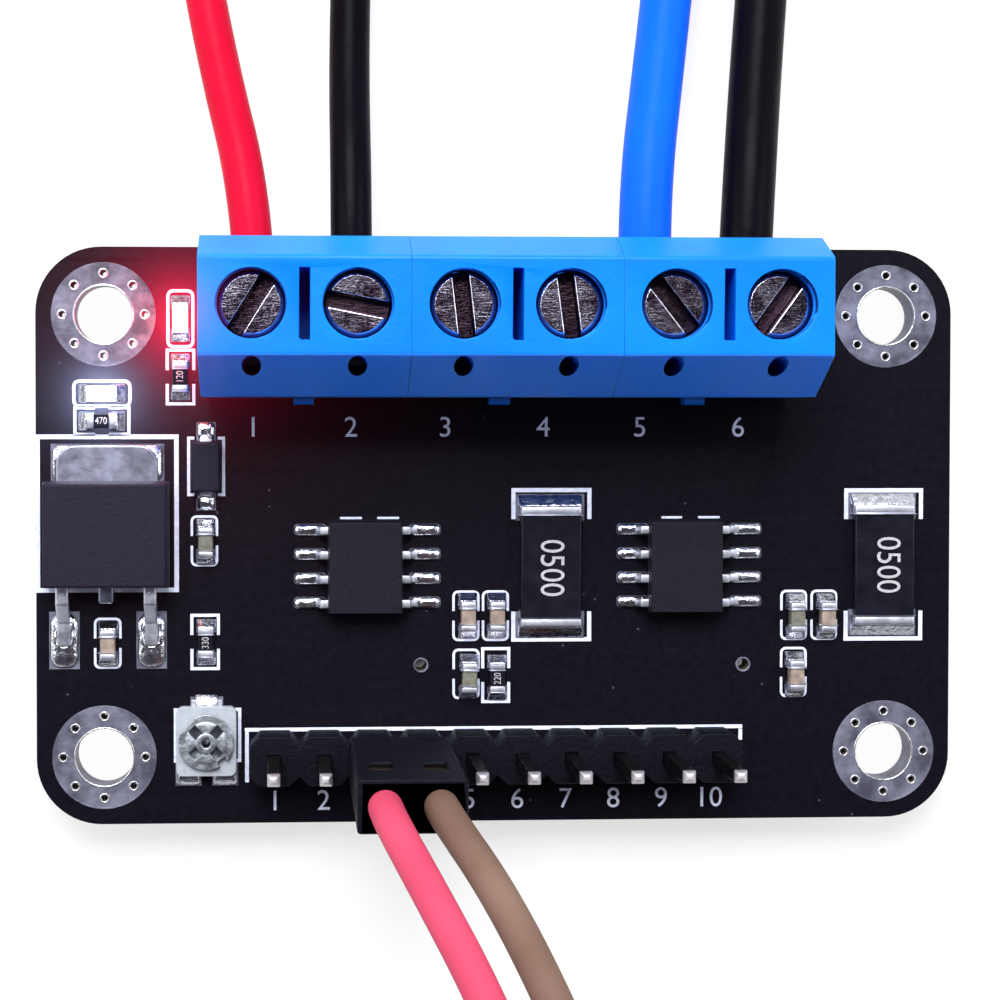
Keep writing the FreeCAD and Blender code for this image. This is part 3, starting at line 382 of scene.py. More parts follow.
# Jumper leads: two thin wires from one plug-on housing to another like it. They rise from the first,
# arch over and come down to the table in front of the module.
jumper_red = insulation("jumper_red", (0.53, 0.062, 0.118, 1), (0.45, 0.048, 0.098, 1), 0.48)
jumper_brown = insulation("jumper_brown", (0.175, 0.11, 0.085, 1), (0.125, 0.074, 0.054, 1), 0.52)
jumper_red_route = [
    (-6.58, -11.4, 17.62), (-6.52, -11.44, 20.5), (-5.05, -13.6, 25.3), (-3.1, -16.9, 29.0),
    (-1.1, -21.6, 30.4), (0.0, -26.6, 27.2), (0.9, -30.0, 20.2), (1.7, -31.6, 12.4), (3.2, -31.9, 5.7),
    (7.0, -31.6, 1.3), (11.6, -31.29, 1.27), (14.6, -31.27, 1.27),
]
jumper_brown_route = [
    (-4.04, -11.4, 17.62), (-3.97, -11.44, 20.3), (-2.2, -13.6, 24.9), (-0.4, -16.9, 28.6),
    (1.4, -21.2, 29.6), (2.4, -25.6, 26.0), (3.1, -28.2, 19.0), (3.9, -29.2, 11.8), (5.3, -29.3, 5.6),
    (8.4, -28.9, 1.5), (11.9, -28.75, 1.27), (14.6, -28.73, 1.27),
]
jumper_one = lead("red_jumper_wire", jumper_red_route, 1.6, jumper_red)
jumper_two = lead("brown_jumper_wire", jumper_brown_route, 1.6, jumper_brown)
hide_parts("jumper_lead_red")
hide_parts("jumper_lead_brown")


# Circuit board: glass fibre laminate under a glossy black mask, its edge routed bare.
# Copper tracks stand a little proud under the mask and dust lies on it. A red and a pale blue glow round the
# two lamps are painted light that the mask gives off.
def dress(material, *nodes):
    for name in nodes:
        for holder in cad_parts[name].material_slots:
            holder.material = material


red_lamp = (-16.53, 11.28)
white_lamp = (-20.59, 7.4)
mask = Finish("black_mask", Specular_IOR_Level=0.1, Emission_Strength=1.0)
grain = mask.noise(0.35 * mm, 4.0, 0.6)
specks = mask.node("ShaderNodeTexVoronoi", {}, {"Vector": mask.place(), "Scale": 900.0}).under(0.06)
thinned = mask.noise(5 * mm, 2.0).above(0.56)
dusty = specks * thinned
ink = mask.blend(grain.ramp(0.3, 0.75), (0.0028, 0.0024, 0.0052, 1), (0.0052, 0.0044, 0.0088, 1))
ink = mask.blend(dusty * 0.5, ink, (0.1, 0.085, 0.12, 1))
edge = 1 - mask.axis(mask.facing(), "Z").magnitude().above(0.5)
weave = mask.noise(0.2 * mm, 2.0, 0.5, mask.stretched(1, 1, 9))
laminate = mask.blend(weave.ramp(0.3, 0.7), (0.05, 0.042, 0.03, 1), (0.14, 0.12, 0.085, 1))
mask.put("Base Color", mask.blend(edge, ink, laminate))
mask.put("Roughness", grain * 0.12 + edge * 0.4 + 0.3)
tracks = mask.node(
    "ShaderNodeTexVoronoi", {"distance": "CHEBYCHEV", "feature": "F1"},
    {"Vector": mask.place(), "Scale": 130.0, "Randomness": 0.75},
).ramp(0.36, 0.4)
mask.relief(tracks * 0.5 + grain * 0.3, 0.02 * mm)
# Painted light: the mask itself glows red round the red lamp and pale blue round the white lamp.
painted_red_glow = mask.blend(mask.near(red_lamp, 2.8), (0, 0, 0, 1), (1.0, 0.01, 0.075, 1))
painted_lamp_glows = mask.blend(mask.near(white_lamp, 1.9), painted_red_glow, (0.3, 0.36, 0.6, 1))
mask.put("Emission Color", painted_lamp_glows)
dress(mask.material, "circuit_board")


# Plated copper that the mask leaves bare: rings at the mounting holes and the lands under the parts.
# It is tinned, dulled by handling, and drawn bright round each drilled hole.
bare_plating = Finish("bare_plating", Metallic=0.4, Roughness=0.3)
haze = bare_plating.noise(1.6 * mm, 3.0, 0.6)
bare_plating.put("Base Color", bare_plating.blend(
    haze.ramp(0.35, 0.65), (0.06, 0.06, 0.09, 1), (0.19, 0.195, 0.27, 1),
))
bare_plating.put("Roughness", haze * 0.2 + 0.38)
bare_plating.relief(bare_plating.noise(0.25 * mm, 3.0), 0.02 * mm)
dress(bare_plating.material, "mounting_pads", "solder_pads")


def ring_piece(name, places, radius, wire, flat, z):
    """Rings of solder or plating round holes: each ring flattened in edit mode, then all joined into one
    piece.
    """
    bpy.ops.object.select_all(action="DESELECT")
    made = []
    for x, y in places:
        bpy.ops.mesh.primitive_torus_add(
            major_radius=radius * mm, minor_radius=wire * mm, major_segments=32, minor_segments=8,
            location=(x * mm, y * mm, z * mm),
        )
        ring = bpy.context.object
        bpy.ops.object.mode_set(mode="EDIT")
        bpy.ops.mesh.select_all(action="SELECT")
        bpy.ops.transform.resize(value=(1, 1, flat))
        bpy.ops.object.mode_set(mode="OBJECT")
        made.append(ring)
    bpy.ops.object.select_all(action="DESELECT")
    for ring in made:
        ring.select_set(True)
    bpy.context.view_layer.objects.active = made[0]
    bpy.ops.object.join()
    piece = bpy.context.object
    piece.name = name
    bpy.ops.object.transform_apply(location=True, rotation=True, scale=True)
    bpy.ops.object.shade_smooth()
    return piece


stitches = []
for x, y in corner_holes:
    for eighth in range(8):
        angle = eighth * math.pi / 4
        stitches.append((x + 2.13 * math.cos(angle), y + 2.13 * math.sin(angle)))
hole_rims = ring_piece("hole_rims", corner_holes, 1.54, 0.055, 0.9, 3.14)
stitch_rims = ring_piece("stitch_rims", stitches, 0.22, 0.05, 0.7, 3.14)
test_rims = ring_piece("test_hole_rims", test_holes, 0.35, 0.05, 0.6, 3.1)
pad_rims = ring_piece("pad_rims", corner_holes, 2.66, 0.03, 0.6, 3.14)
for piece, finish in (
    (hole_rims, bright_tin), (stitch_rims, bright_tin), (test_rims, bare_plating), (pad_rims, bare_plating),
):
    piece.data.materials.append(finish.material)
    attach(piece, "module")


# Printed legend: thick white ink on the mask, drawn as outlines round the parts.
# Each outline is a flat plate cut to a frame, opened where the real print is interrupted.
def pick_faces(test):
    """Selects those faces of the piece in edit mode whose middle and direction pass the test."""
    bpy.ops.mesh.select_mode(type="FACE")
    bpy.ops.mesh.select_all(action="DESELECT")
    shape = bmesh.from_edit_mesh(bpy.context.object.data)
    for face in shape.faces:
        if test(face.calc_center_median(), face.normal):
            face.select_set(True)
    bmesh.update_edit_mesh(bpy.context.object.data)


def outline_piece(name, size_x, size_y, line, corner, gaps):
    """A frame in the XY plane, centred on 0: gaps are (axis, low, high) bands that are left unprinted."""
    bpy.ops.object.select_all(action="DESELECT")
    bpy.ops.mesh.primitive_plane_add(size=1)
    piece = bpy.context.object
    piece.name = name
    bpy.ops.object.mode_set(mode="EDIT")
    bpy.ops.mesh.select_mode(type="VERT")
    bpy.ops.mesh.select_all(action="SELECT")
    bpy.ops.transform.resize(value=(size_x * mm, size_y * mm, 1))
    if corner:
        bpy.ops.mesh.bevel(offset=corner * mm, segments=4, affect="VERTICES")
    bpy.ops.mesh.select_all(action="SELECT")
    bpy.ops.mesh.inset(thickness=line * mm)
    bpy.ops.mesh.delete(type="FACE")
    for axis, low, high in gaps:
        for level in (low, high):
            bpy.ops.mesh.select_all(action="SELECT")
            place = [level * mm if side == axis else 0 for side in range(3)]
            way = [1 if side == axis else 0 for side in range(3)]
            bpy.ops.mesh.bisect(plane_co=place, plane_no=way)
        pick_faces(lambda middle, facing: low * mm < middle[axis] < high * mm)
        bpy.ops.mesh.delete(type="FACE")
    bpy.ops.object.mode_set(mode="OBJECT")
    return piece


board_top = 3.1 * mm


def printed(prototype, place, turn=0.0):
    """A copy of one outline, put down on the board."""
    copy = prototype.copy()
    copy.data = prototype.data.copy()
    bpy.context.collection.objects.link(copy)
    copy.location = (place[0] * mm, place[1] * mm, board_top + 0.015 * mm)
    copy.rotation_euler = (0, 0, math.radians(turn))
    return copy


def joined(name, parts):
    bpy.ops.object.select_all(action="DESELECT")
    for part in parts:
        part.select_set(True)
    bpy.context.view_layer.objects.active = parts[0]
    bpy.ops.object.join()
    piece = bpy.context.object
    piece.name = name
    bpy.ops.object.transform_apply(location=True, rotation=True, scale=True)
    return piece


def px(x, y):
    """Place on the board's top, in millimetres, of a point read off the picture."""
    middle_x, middle_y, points_per_mm = 494.5, 534, 19.06
    return ((x - middle_x) / points_per_mm, (middle_y - y) / points_per_mm)


prints = []
around_capacitor = outline_piece("capacitor_outline", 1.43, 2.66, 0.13, 0.3, [(1, -0.25, 0.25)])
for x, y in (
    (-15.31, -0.25), (-20.32, -5.56), (-1.67, -4.22), (-0.12, -4.22), (-1.66, -7.27),
    (15.68, -4.25), (17.29, -4.25), (15.68, -7.27),
):
    prints.append(printed(around_capacitor, (x, y)))
around_resistor = outline_piece("resistor_outline", 1.53, 2.94, 0.16, 0.0, [(1, -0.36, 0.36)])
for x, y, turn in ((-16.53, 8.26, 0), (-20.59, 5.98, 90), (-15.28, -5.52, 0), (-0.1, -7.34, 0)):
    prints.append(printed(around_resistor, (x, y), turn))
around_lamp = outline_piece("lamp_outline", 1.45, 3.05, 0.16, 0.35, [])
for lamp_place, turn in ((red_lamp, 0), (white_lamp, 90)):
    prints.append(printed(around_lamp, lamp_place, turn))
around_regulator = outline_piece("regulator_outline", 7.4, 8.2, 0.24, 0.0, [])
prints.append(printed(around_regulator, px(107, 511.5)))
around_sense = outline_piece("sense_outline", 4.22, 8.06, 0.22, 0.0, [(1, -2.45, 2.4)])
prints.append(printed(around_sense, px(548.3, 563.7)))
prints.append(printed(around_sense, px(884.5, 564.5)))
around_diode = outline_piece("diode_outline", 1.97, 3.1, 0.16, 0.0, [(0, -0.6, 0.6)])
prints.append(printed(around_diode, px(204.5, 465)))
around_trimmer = outline_piece("trimmer_outline", 3.5, 2.84, 0.17, 0.0, [(0, -0.85, 0.85)])
prints.append(printed(around_trimmer, px(205.5, 732)))

prints_of_bars = [
    (348, 516.5, 1.15, 0.12), (385, 516.5, 1.15, 0.12), (669.5, 516.5, 1.1, 0.12), (707, 516.5, 1.15, 0.12),
    (492, 727, 26.2, 0.2), (244.5, 754.2, 0.2, 2.64), (739.7, 735, 0.2, 0.6),
]
for x, y, length, width in prints_of_bars:
    bpy.ops.mesh.primitive_plane_add(size=1)
    bar = bpy.context.object
    bpy.ops.object.mode_set(mode="EDIT")
    bpy.ops.mesh.select_all(action="SELECT")
    bpy.ops.transform.resize(value=(length * mm, width * mm, 1))
    bpy.ops.mesh.bevel(offset=0.04 * mm, segments=3, affect="VERTICES")
    bpy.ops.object.mode_set(mode="OBJECT")
    prints.append(printed(bar, px(x, y)))
    bpy.data.objects.remove(bar)
for prototype in (
    around_capacitor, around_resistor, around_lamp, around_regulator, around_sense, around_diode,
    around_trimmer,
):
    bpy.data.objects.remove(prototype)


def numeral(text, place, size, turn=0.0, height=board_top + 0.015 * mm, narrow=1.0):
    """A plain printed number, made a mesh before it is put in place."""
    bpy.ops.object.select_all(action="DESELECT")
    bpy.ops.object.text_add()
    words = bpy.context.object
    words.data.body = text
    words.data.size = size * mm
    words.data.align_x = "CENTER"
    words.data.align_y = "CENTER"
    words.data.resolution_u = 4
    bpy.ops.object.convert(target="MESH")
    words = bpy.context.object
    words.location = (place[0] * mm, place[1] * mm, height)
    words.scale = (narrow, 1, 1)
    words.rotation_euler = (0, 0, math.radians(turn))
    return words


for number, x in enumerate((251, 348, 442, 540, 637, 736)):
    prints.append(numeral(str(number + 1), px(x, 427), 1.5))
first_pin, pin_pitch = -11.66, 2.54
for number in range(10):
    prints.append(numeral(str(number + 1), (first_pin + pin_pitch * number, -13.9), 1.5))

legend = joined("printed_legend", prints)
white_ink = Finish("white_ink", Roughness=0.6)
white_ink.put("Base Color", white_ink.blend(
    white_ink.noise(0.25 * mm, 4.0, 0.7).ramp(0.3, 0.65), (0.5, 0.54, 0.72, 1), (0.74, 0.78, 0.96, 1),
))
white_ink.relief(white_ink.noise(0.15 * mm, 3.0), 0.01 * mm)
legend.data.materials.append(white_ink.material)
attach(legend, "module")


# Screw terminal blocks: three blue polyamide mouldings, slightly translucent and satin, their edges
# rounded a little by the mould.
def softened(node, body, material, radius, hollow=False):
    """A copy of one solid with its hard edges rounded, as moulding, pressing and tumbling leave them.

    In a hollow piece only the long outer edges are rounded, so that what moves inside keeps its room.
    """
    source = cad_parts[node]
    bpy.ops.object.select_all(action="DESELECT")
    piece = bpy.data.objects.new("soft_" + node, source.data.copy())
    bpy.context.collection.objects.link(piece)
    piece.data.materials.clear()
    piece.data.materials.append(material)
    piece.select_set(True)
    bpy.context.view_layer.objects.active = piece
    bpy.ops.object.mode_set(mode="EDIT")
    bpy.ops.mesh.select_all(action="SELECT")
    bpy.ops.mesh.remove_doubles(threshold=0.002 * mm)
    bpy.ops.mesh.dissolve_limited(angle_limit=math.radians(1.0))
    shape = bmesh.from_edit_mesh(piece.data)
    weights = shape.edges.layers.float.new("bevel_weight_edge")
    for edge in shape.edges:
        hard = edge.calc_face_angle(0.0) > math.radians(35)
        outer = edge.is_convex and edge.calc_length() > 1.2 * mm
        edge[weights] = 1.0 if hard and (outer or not hollow) else 0.0
    bmesh.update_edit_mesh(piece.data)
    bpy.ops.object.mode_set(mode="OBJECT")
    edges = piece.modifiers.new("edges", "BEVEL")
    edges.width = radius * mm
    edges.segments = 3
    edges.limit_method = "WEIGHT"
    edges.use_clamp_overlap = False
    bpy.ops.object.modifier_apply(modifier="edges")
    bpy.ops.object.shade_smooth_by_angle(angle=math.radians(40))
    flats = piece.modifiers.new("flats", "WEIGHTED_NORMAL")
    flats.keep_sharp = True
    bpy.ops.object.modifier_apply(modifier="flats")
    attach(piece, body)
    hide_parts(node)
    return piece


blue_block = Finish(
    "blue_block", Roughness=0.36, Subsurface_Weight=0.12, Subsurface_Radius=(0.0004, 0.0007, 0.0012),
    Subsurface_Scale=1.0, Specular_IOR_Level=0.16, Emission_Strength=1.0,
)
drift = blue_block.noise(4 * mm, 3.0)
speckle = blue_block.noise(0.25 * mm, 3.0, 0.6)
moulding_and_front_light = blue_block.blend(drift.ramp(0.3, 0.7), (0.001, 0.165, 0.76, 1), (0.002, 0.2, 0.84, 1))
# Painted light: faces that lean to the front get a brighter blue, standing in for how they are lit.
front_slope_painted_light = blue_block.axis(blue_block.facing(), "Y").under(-0.3)
moulding_and_front_light = blue_block.blend(front_slope_painted_light, moulding_and_front_light, (0.03, 0.22, 1.0, 1))
# Painted shade: the walls of the screw bores are darkened, where shade falls inside them.
half_pitch = 2.54 * mm
across = blue_block.axis(blue_block.place(), "X")
from_axis = half_pitch - across.sum_node("PINGPONG", across, half_pitch)
screw_row = 11.6 * mm
from_row = blue_block.axis(blue_block.place(), "Y") - screw_row
bore_reach = 2.0 * mm
painted_bore_shade = (from_axis * from_axis + from_row * from_row).under(bore_reach ** 2)
painted_bore_shade = painted_bore_shade * blue_block.axis(blue_block.facing(), "Z").under(0.5)
blue_block.put("Base Color", blue_block.blend(painted_bore_shade, moulding_and_front_light, (0.001, 0.03, 0.22, 1)))
blue_block.put("Roughness", speckle * 0.18 + 0.26)
blue_block.relief(speckle * 0.7 + drift * 0.5, 0.02 * mm)
# Painted light: the first block glows red next to the red lamp, emitted by the moulding itself.
blue_block.put("Emission Color", blue_block.blend(
    blue_block.near((-16.4, 11.28), 1.7), (0, 0, 0, 1), (0.45, 0.011, 0.034, 1),
))
for number in range(3):
    softened(
        f"terminal_housing_{number + 1}", "module", blue_block.material, 0.07, True,
    )


# Terminal screws and the clamps under them: steel, nickel plated, the heads scored by the driver. The heads
# carry a painted blue reflection, a painted highlight round the rim and painted shade in the slot.
scored_steel = Finish("scored_steel", Metallic=1.0, Roughness=0.2)
lines_one = scored_steel.noise(0.5 * mm, 3.0, 0.6, scored_steel.stretched(1, 9, 1))
lines_two = scored_steel.noise(0.5 * mm, 3.0, 0.6, scored_steel.stretched(8, 1.5, 1))
stain = scored_steel.noise(0.9 * mm, 3.0, 0.6)
# Painted reflection: the stained face of each head is tinted purple-blue, as if it mirrored the blue housing
# round it.
stained_face_and_painted_reflection = scored_steel.blend(stain.ramp(0.35, 0.65), (0.07, 0.045, 0.075, 1), (0.24, 0.22, 0.28, 1))
# Painted highlight: every face that does not face straight up, such as the rounded rim, gets a bright base
# colour.
painted_rim_highlight = 1 - scored_steel.axis(scored_steel.facing(), "Z").magnitude().above(0.985)
plating_and_rim_highlight = scored_steel.blend(painted_rim_highlight, stained_face_and_painted_reflection, (0.8, 0.78, 0.88, 1))
slot_floor, head_top = 11.9 * mm, 12.25 * mm
# Painted shade: below the head's top the slot is darkened to near black.
outside_slot_shade = scored_steel.axis(scored_steel.place(), "Z").ramp(slot_floor, head_top)
scored_steel.put("Base Color", scored_steel.blend(outside_slot_shade, (0.05, 0.03, 0.045, 1), plating_and_rim_highlight))
scored_steel.put("Roughness", stain * 0.2 + 0.08)
scored_steel.relief(lines_one * 0.6 + lines_two * 0.6, 0.022 * mm)
for number in range(6):
    softened(
        f"terminal_screw_{number + 1}", f"screw_{number + 1}", scored_steel.material, 0.07,
    )

plated_strip = Finish("plated_strip", Metallic=1.0, Roughness=0.3)
plated_strip.put("Base Color", plated_strip.blend(
    plated_strip.noise(1.2 * mm, 3.0).ramp(0.3, 0.7), (0.5, 0.49, 0.46, 1), (0.66, 0.65, 0.62, 1),
))
plated_strip.put("Roughness", plated_strip.noise(0.4 * mm, 2.0) * 0.25 + 0.2)
for number in range(6):
    dress(plated_strip.material, f"clamp_cage_{number + 1}")

# Painted shade: the contacts' brass is made dark all over, as they look in the shade inside the housings.
tinned_brass = Finish("tinned_brass", Metallic=1.0, Roughness=0.3)
tinned_brass.put("Base Color", tinned_brass.blend(
    tinned_brass.noise(0.8 * mm, 3.0).ramp(0.3, 0.7), (0.15, 0.125, 0.09, 1), (0.24, 0.21, 0.17, 1),
))
dress(tinned_brass.material, "terminal_contacts", "jumper_contacts", "far_contacts")

strands = Finish("bare_strands", Metallic=1.0, Roughness=0.3)
twist_lines = strands.noise(0.35 * mm, 2.0, 0.5, strands.stretched(6, 1, 6))
strands.put("Base Color", strands.blend(
    twist_lines.ramp(0.35, 0.65), (0.42, 0.2, 0.1, 1), (0.83, 0.5, 0.32, 1),
))
strands.relief(twist_lines, 0.1 * mm)
dress(strands.material, "clamped_strands")


# Header: black moulded strip with ten square pins, thinly gilded, their shafts painted dark as painted shade
# and paler towards the tip. The two housings of the jumper are of the same black plastic, and hang on its
# leads with their contacts.
header_plastic = Finish("header_plastic", Roughness=0.5, Specular_IOR_Level=0.09)
mould_grain = header_plastic.noise(0.2 * mm, 4.0, 0.6)
header_plastic.put("Base Color", header_plastic.blend(
    mould_grain.ramp(0.3, 0.7), (0.0018, 0.0018, 0.004, 1), (0.0045, 0.005, 0.0105, 1),
))
header_plastic.put("Roughness", mould_grain * 0.25 + 0.36)
header_plastic.relief(mould_grain, 0.03 * mm)
softened("header_strip", "module", header_plastic.material, 0.08)
plugged_housing = softened("jumper_housing", "module", header_plastic.material, 0.1)
far_housing = softened("far_housing", "module", header_plastic.material, 0.1)

gilt = Finish("thin_gilt", Metallic=1.0, Roughness=0.26)
worn = gilt.noise(0.6 * mm, 3.0, 0.6)
# Painted shade: the pins' shafts are nearly black, as they look under the dark room above; near the tip they
# turn pale.
shaft_painted_dark = gilt.blend(worn.ramp(0.35, 0.7), (0.02, 0.015, 0.012, 1), (0.05, 0.04, 0.035, 1))
pale_from, pale_full_from = 10.85 * mm, 11.1 * mm
at_tip = gilt.axis(gilt.place(), "Z").ramp(pale_from, pale_full_from)
gilt.put("Base Color", gilt.blend(at_tip, shaft_painted_dark, (0.6, 0.58, 0.62, 1)))
gilt.put("Roughness", worn * 0.2 + at_tip * 0.3 + 0.2)
softened("header_pins", "module", gilt.material, 0.06)


# Regulator: dark moulded body on a tinned tab, soldered flat to its land, with two formed leads.
# The diode beside it is moulded in the same way, with a flat tinned lead at each end.
moulded = Finish("moulded_package", Roughness=0.55, Specular_IOR_Level=0.16)
fine = moulded.noise(0.12 * mm, 4.0, 0.65)
moulded.put("Base Color", moulded.blend(
    fine.ramp(0.3, 0.72), (0.006, 0.005, 0.014, 1), (0.015, 0.0115, 0.028, 1),
))
moulded.put("Roughness", fine * 0.3 + 0.4)
moulded.relief(fine, 0.03 * mm)
softened("regulator_body", "module", moulded.material, 0.12)
softened("diode_body", "module", moulded.material, 0.08)

matt_tin = Finish("matt_tin", Metallic=1.0, Roughness=0.36)
tin_cloud = matt_tin.noise(0.6 * mm, 3.0, 0.6)
matt_tin.put("Base Color", matt_tin.blend(
    tin_cloud.ramp(0.3, 0.7), (0.5, 0.52, 0.6, 1), (0.68, 0.7, 0.8, 1),
))
matt_tin.put("Roughness", tin_cloud * 0.2 + 0.34)
matt_tin.relief(matt_tin.noise(0.3 * mm, 2.0), 0.012 * mm)
tab_tin = Finish("tab_tin", Metallic=1.0, Roughness=0.36)
tab_cloud = tab_tin.noise(1.1 * mm, 3.0, 0.6)
tab_tin.put("Base Color", tab_tin.blend(
    tab_cloud.ramp(0.3, 0.7), (0.25, 0.26, 0.34, 1), (0.42, 0.44, 0.58, 1),
))
tab_tin.put("Roughness", tab_cloud * 0.2 + 0.26)
tab_tin.relief(tab_cloud, 0.02 * mm)
softened("regulator_tab", "module", tab_tin.material, 0.12)
softened("regulator_leads", "module", matt_tin.material, 0.09)
softened("diode_leads", "module", matt_tin.material, 0.04)


# Driver chips: moulded body in two drafted halves, with eight gull-wing leads each.
# The leads are stamped from tinned strip and bent down to their lands.
chip_plastic = Finish("chip_plastic", Roughness=0.5, Specular_IOR_Level=0.12)
chip_grain = chip_plastic.noise(0.1 * mm, 4.0, 0.65)
chip_plastic.put("Base Color", chip_plastic.blend(
    chip_grain.ramp(0.3, 0.72), (0.005, 0.005, 0.009, 1), (0.012, 0.012, 0.021, 1),
))
chip_plastic.put("Roughness", chip_grain * 0.25 + 0.36)
chip_plastic.relief(chip_grain, 0.02 * mm)
for side in ("left", "right"):
    softened("driver_chip_" + side, "module", chip_plastic.material, 0.06)
    softened("driver_leads_" + side, "module", matt_tin.material, 0.05)


# Solder: bright where it froze smooth, frosted at its edges. Every joint is a lump that is as wide as
# its land at the foot and draws in towards the lead or end cap that it climbs.
solder = Finish("solder", Metallic=1.0, Roughness=0.2)
frost = solder.noise(0.35 * mm, 3.0, 0.6)
solder.put("Base Color", solder.blend(frost.ramp(0.3, 0.7), (0.55, 0.56, 0.62, 1), (0.85, 0.86, 0.92, 1)))
solder.put("Roughness", frost * 0.25 + 0.08)
solder.relief(frost, 0.06 * mm)
dress(solder.material, "solder_joints")


def solder_lump(low_x, high_x, low_y, high_y, peak, levels, roundness=0.22):
    """A closed lump on its footprint; levels are (rise, share of x, share of y) drawn in towards peak."""
    bpy.ops.object.select_all(action="DESELECT")
    bpy.ops.mesh.primitive_plane_add(size=1, location=(0, 0, 0))
    lump = bpy.context.object
    bpy.ops.object.mode_set(mode="EDIT")
    bpy.ops.mesh.select_mode(type="VERT")
    bpy.ops.mesh.select_all(action="SELECT")
    wide, deep = high_x - low_x, high_y - low_y
    bpy.ops.transform.resize(value=(wide * mm, deep * mm, 1), center_override=(0, 0, 0))
    bpy.ops.transform.translate(value=((low_x + high_x) / 2 * mm, (low_y + high_y) / 2 * mm, 0))
    bpy.ops.mesh.bevel(offset=min(wide, deep) * roundness * mm, segments=5, affect="VERTICES")
    bpy.ops.mesh.select_all(action="SELECT")
    bpy.ops.mesh.duplicate()
    for rise, share_x, share_y in levels:
        bpy.ops.mesh.extrude_region_move(TRANSFORM_OT_translate={"value": (0, 0, rise * mm)})
        bpy.ops.transform.resize(value=(share_x, share_y, 1), center_override=(peak[0] * mm, peak[1] * mm, 0))
    bpy.ops.mesh.select_all(action="SELECT")
    bpy.ops.mesh.remove_doubles(threshold=0.0005 * mm)
    bpy.ops.mesh.normals_make_consistent(inside=False)
    bpy.ops.object.mode_set(mode="OBJECT")
    bpy.ops.object.shade_smooth_by_angle(angle=math.radians(60))
    return lump


def put_down(prototype, place, turn, z=board_top + 0.07 * mm):
    copy = prototype.copy()
    copy.data = prototype.data.copy()
    bpy.context.collection.objects.link(copy)
    copy.location = (place[0] * mm, place[1] * mm, z)
    copy.rotation_euler = (0, 0, math.radians(turn))
    return copy


lumps = []
toe = solder_lump(-0.3, 0.3, -0.83, 0.83, (0, 0.3), [
    (0.06, 0.96, 0.97), (0.07, 0.86, 0.84), (0.06, 0.66, 0.66), (0.03, 0.4, 0.45),
], 0.46)
chip_row, lead_pitch, toe_reach = -1.6, 1.27, 2.99
for chip_x in (-6.97 + 0.14, 9.74 + 0.36):
    for pin in range(4):
        y = chip_row + (pin - 1.5) * lead_pitch
        lumps.append(put_down(toe, (chip_x + toe_reach, y), -90))
        lumps.append(put_down(toe, (chip_x - toe_reach, y), 90))
end = solder_lump(-0.5, 0.5, -0.06, 0.4, (0, -0.05), [
    (0.1, 0.98, 0.8), (0.12, 0.94, 0.66), (0.14, 0.92, 0.5), (0.1, 0.88, 0.4),
])
small_parts = [
    (-20.28, -5.58, 0), (-1.58, -4.2, 0), (-0.06, -4.2, 0), (17.38, -4.32, 0), (15.72, -7.38, 0),
    (-15.23, -0.3, 0), (-1.52, -7.42, -1.5), (15.76, -4.32, 0), (-16.53, 8.26, 0), (-20.59, 5.98, 90),
    (-15.23, -5.52, 0), (-0.04, -7.46, 0), (-16.53, 11.28, 0), (-20.59, 7.4, 90),
]
for x, y, turn in small_parts:
    for way in (0, 180):
        angle = math.radians(turn + way)
        lumps.append(put_down(end, (x - 0.8 * math.sin(angle), y + 0.8 * math.cos(angle)), turn + way))
wide_end = solder_lump(-1.72, 1.72, -0.08, 0.56, (0, -0.08), [
    (0.1, 0.99, 0.85), (0.12, 0.985, 0.7), (0.12, 0.98, 0.5), (0.1, 0.97, 0.35),
])
half_sense_length = 3.175
for x, y in ((2.75, -1.62), (20.38, -1.58)):
    lumps.append(put_down(wide_end, (x, y + half_sense_length), 0))
    lumps.append(put_down(wide_end, (x, y - half_sense_length), 180))
mound = solder_lump(-0.73, 0.73, -1.42, 1.4, (0, -0.2), [
    (0.08, 0.97, 0.98), (0.09, 0.88, 0.92), (0.06, 0.72, 0.8), (0.03, 0.5, 0.6),
], 0.4)
round_tab = solder_lump(-2.86, 2.86, -0.95, 0.95, (0, -0.4), [(0.12, 0.985, 0.97), (0.1, 0.975, 0.95)])
lumps.append(put_down(round_tab, (-20.3, 3.83), 0))

bpy.ops.object.select_all(action="DESELECT")
bpy.ops.mesh.primitive_torus_add(
    major_radius=0.49 * mm, minor_radius=0.15 * mm, major_segments=32, minor_segments=12,
)
collar = bpy.context.object
bpy.ops.object.mode_set(mode="EDIT")
bpy.ops.mesh.select_all(action="SELECT")
bpy.ops.mesh.bisect(plane_co=(0, 0, 0), plane_no=(0, 1, 0), clear_outer=True)
bpy.ops.mesh.extrude_region_move(TRANSFORM_OT_translate={"value": (0, 0.75 * mm, 0)})
bpy.ops.transform.resize(value=(1, 1, 0.5), center_override=(0, 0.75 * mm, 0))
bpy.ops.mesh.select_all(action="SELECT")
bpy.ops.mesh.fill_holes(sides=40)
bpy.ops.mesh.normals_make_consistent(inside=False)
bpy.ops.object.mode_set(mode="OBJECT")
bpy.ops.object.shade_smooth()
for side in (-1, 1):
    lumps.append(put_down(mound, (-20.3 + side * 2.25, -5.4), 0))
    lumps.append(put_down(collar, (-20.3 + side * 2.25, -5.3), 0, board_top + 0.2 * mm))
diode_end = solder_lump(-0.46, 0.46, -0.4, 0.42, (0, -0.1), [
    (0.08, 0.97, 0.9), (0.08, 0.86, 0.8), (0.06, 0.7, 0.6),
])
diode_x, diode_y, diode_reach = -15.21, 3.62, 1.86
lumps.append(put_down(diode_end, (diode_x, diode_y + diode_reach), 0))
lumps.append(put_down(diode_end, (diode_x, diode_y - diode_reach), 180))
trimmer_end = solder_lump(-0.62, 0.62, -0.1, 0.55, (0, -0.1), [
    (0.1, 0.97, 0.85), (0.1, 0.9, 0.7), (0.08, 0.8, 0.5),
])
